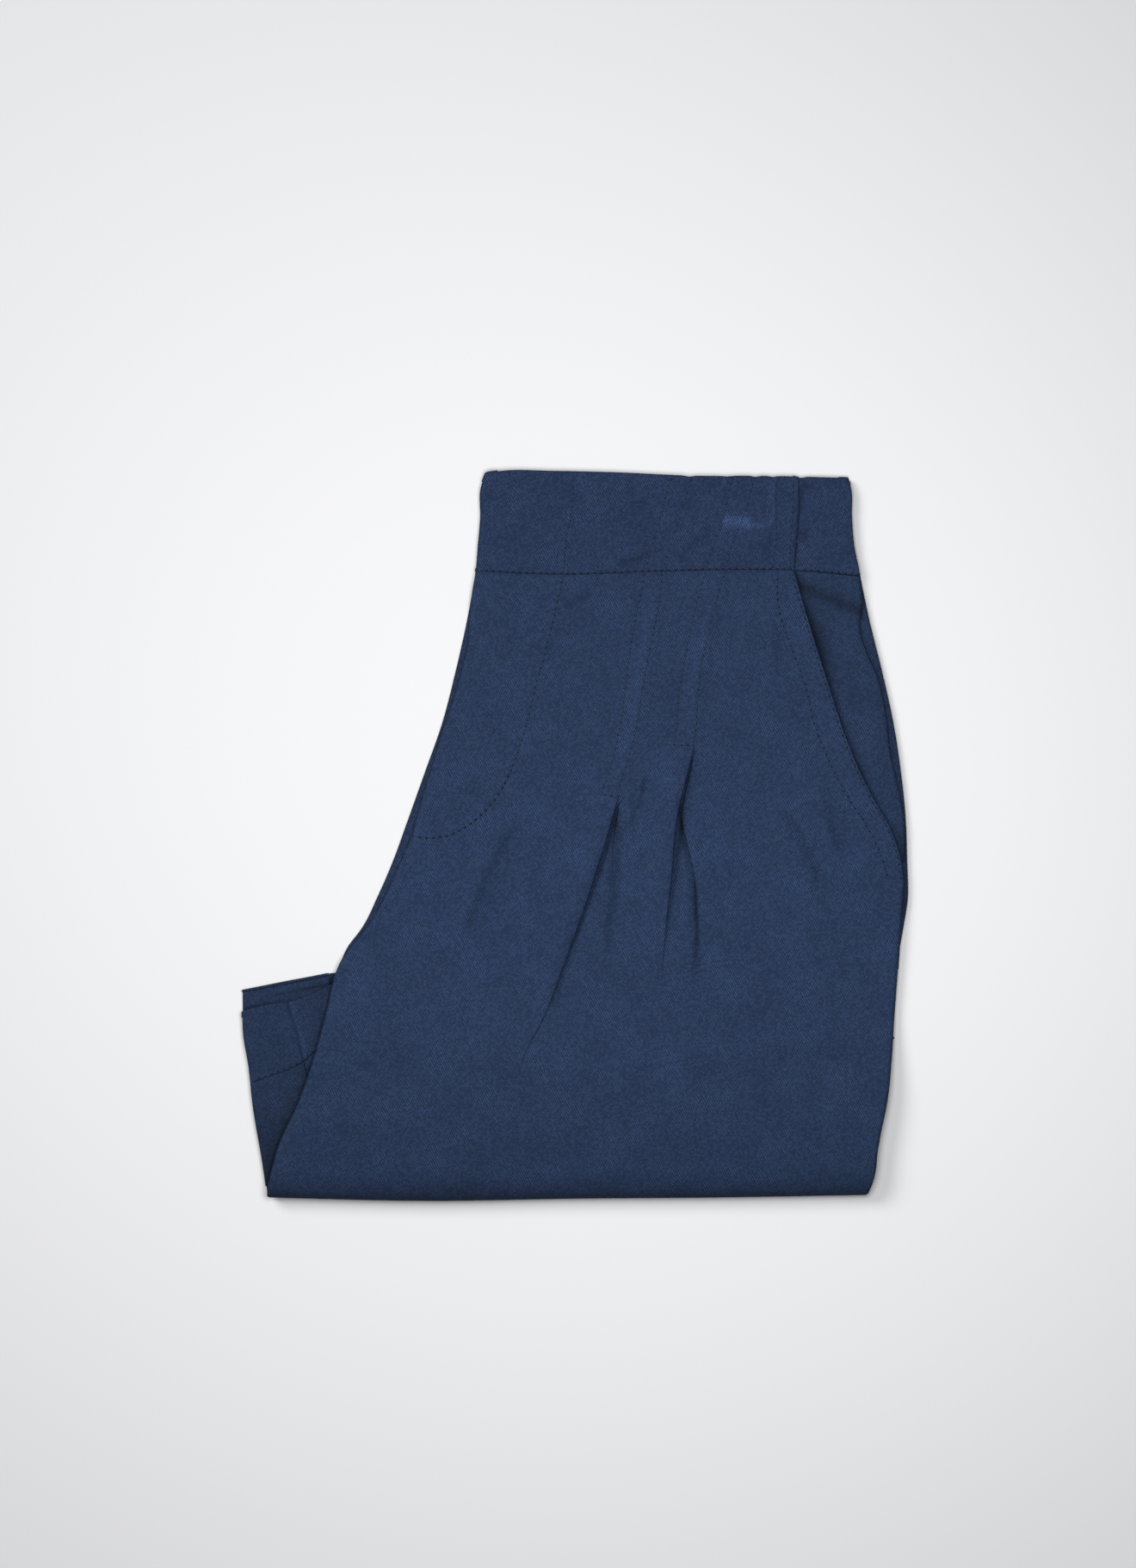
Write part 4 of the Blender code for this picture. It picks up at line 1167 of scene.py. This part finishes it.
# each row with how large the painted shade of its needle holes shows
frontRows = [
    (1.25, flyRow[:9]), (1.75, flyRow[8:]), (1.35, pocketRow), (1.3, pocketEdgeRow),
    (1.15, tuckRow(sections, "stitch1", 20.5, 128)), (1.2, tuckRow(sections, "tuck1", 20.5, 128)),
    (1.15, tuckRow(sections, "stitch2", 45, 128)), (1.2, tuckRow(sections, "tuck2", 45, 128)),
    (1.3, [(11.5, 20.6), (15, 19.8), (21, 19.0)]), (1.3, [(45.5, 44.6), (51, 44.1), (57.6, 44.2)]),
]
bandRows = [
    (1.1, [
        (-0.8, 176.5), (-0.8, 165.3), (-1.8, 156.9), (-2.9, 150.6), (-4.4, 145.3), (-5, 133.8), (-5.7, 128.5),
    ]),
    (1.0, [(98.3, 174), (97.9, 162), (98.3, 150), (97.6, 139), (96.4, 130.6)]),
    (1.1, [(106.7, 174), (106.3, 160), (105.4, 147.4), (104.8, 136), (105.0, 130)]),
    (1.15, tuckRow(bandTucks, "stitch1", 129.5, 175.5, steps=8)),
    (1.15, tuckRow(bandTucks, "tuck1", 129.5, 175.5, steps=8)),
    (1.15, tuckRow(bandTucks, "stitch2", 130.5, 174.5, steps=8)),
    (1.15, tuckRow(bandTucks, "tuck2", 130.5, 174.5, steps=8)),
    (1.5, [(x, float(lineAt(waistSeam, x)) + 0.6) for x in np.linspace(-46.5, 106.5, 20)]),
]


def seamRow(rows, shift, start, end, strength):
    return (strength, [(x, float(lineAt(rows, x)) + shift) for x in np.linspace(start, end, 24)])


sewRows("frontLeftStitching", frontLeft, frontRows)
sewRows("waistbandLeftStitching", bandLeft, bandRows)
sewRows("waistbandSideLeftStitching", bandSideLeft, [seamRow(waistSeam, 0.6, 109, 137, 1.5)])
sewRows("frontRightStitching", frontRight, frontRows, up=-1.0)
sewRows("waistbandRightStitching", bandRight, bandRows, up=-1.0)
sewRows("hemRightStitching", hemRightPiece, [seamRow(rightHemStitch, 0.9, -157.5, -118, 1.45)])
sewRows("hemLeftStitching", hemLeftPiece, [seamRow(leftHemStitch, 1.2, -157, 152, 1.2)], up=-1.0)

# floor, light and camera

floorSpec = {"size": 6.0, "colour": "#f0f0f1"}
bpy.ops.object.select_all(action="DESELECT")
bpy.ops.mesh.primitive_plane_add(size=floorSpec["size"], location=(0, 0, -0.0002))
floor = bpy.context.object
floor.name = "floor"
# matt white paper sheet
floorMaterial = principled(
    "matteWhiteSheet", Base_Color=linear(floorSpec["colour"]), Roughness=0.9, Specular_IOR_Level=0.1
)[0]
floor.data.materials.append(floorMaterial)


def areaLight(name, place, aim, size, power, colour):
    lamp = bpy.data.lights.new(name, "AREA")
    lamp.shape = "DISK"
    lamp.size = size
    lamp.energy = power
    lamp.color = linear(colour)[:3]
    holder = bpy.data.objects.new(name, lamp)
    bpy.context.scene.collection.objects.link(holder)
    holder.location = place
    direction = np.array(aim) - np.array(place)
    yaw = math.atan2(direction[1], direction[0])
    pitch = math.acos(direction[2] / np.linalg.norm(direction))
    holder.rotation_euler = (0, math.pi - pitch, yaw + math.pi)
    holder.visible_camera = False
    return holder


# a large soft lamp from the upper left, and a nearer one overhead that lets the sheet darken to its corners
areaLight("keyLight", (-1.6, 1.2, 1.9), (0, 0, 0), 1.3, 41.5, "#ffffff")
areaLight("overhead", (0.05, 0.0, 0.8), (0.05, 0.0, 0), 0.4, 4.5, "#ffffff")
world = bpy.data.worlds.new("studio")
bpy.context.scene.world = world
world.use_nodes = True
world.node_tree.nodes["Background"].inputs[0].default_value = linear("#e6ebf7")
world.node_tree.nodes["Background"].inputs[1].default_value = 0.07
bpy.context.scene.view_settings.view_transform = "Standard"

camera = {"lens": 85.0, "place": (-0.00336, 0.0252, 1.812)}
lens = bpy.data.cameras.new("camera")
lens.lens = camera["lens"]
lens.sensor_width = 36.0
lens.sensor_fit = "AUTO"
cameraObject = bpy.data.objects.new("camera", lens)
cameraObject.location = camera["place"]
bpy.context.scene.collection.objects.link(cameraObject)
bpy.context.scene.camera = cameraObject
print("floor, lights and camera made")
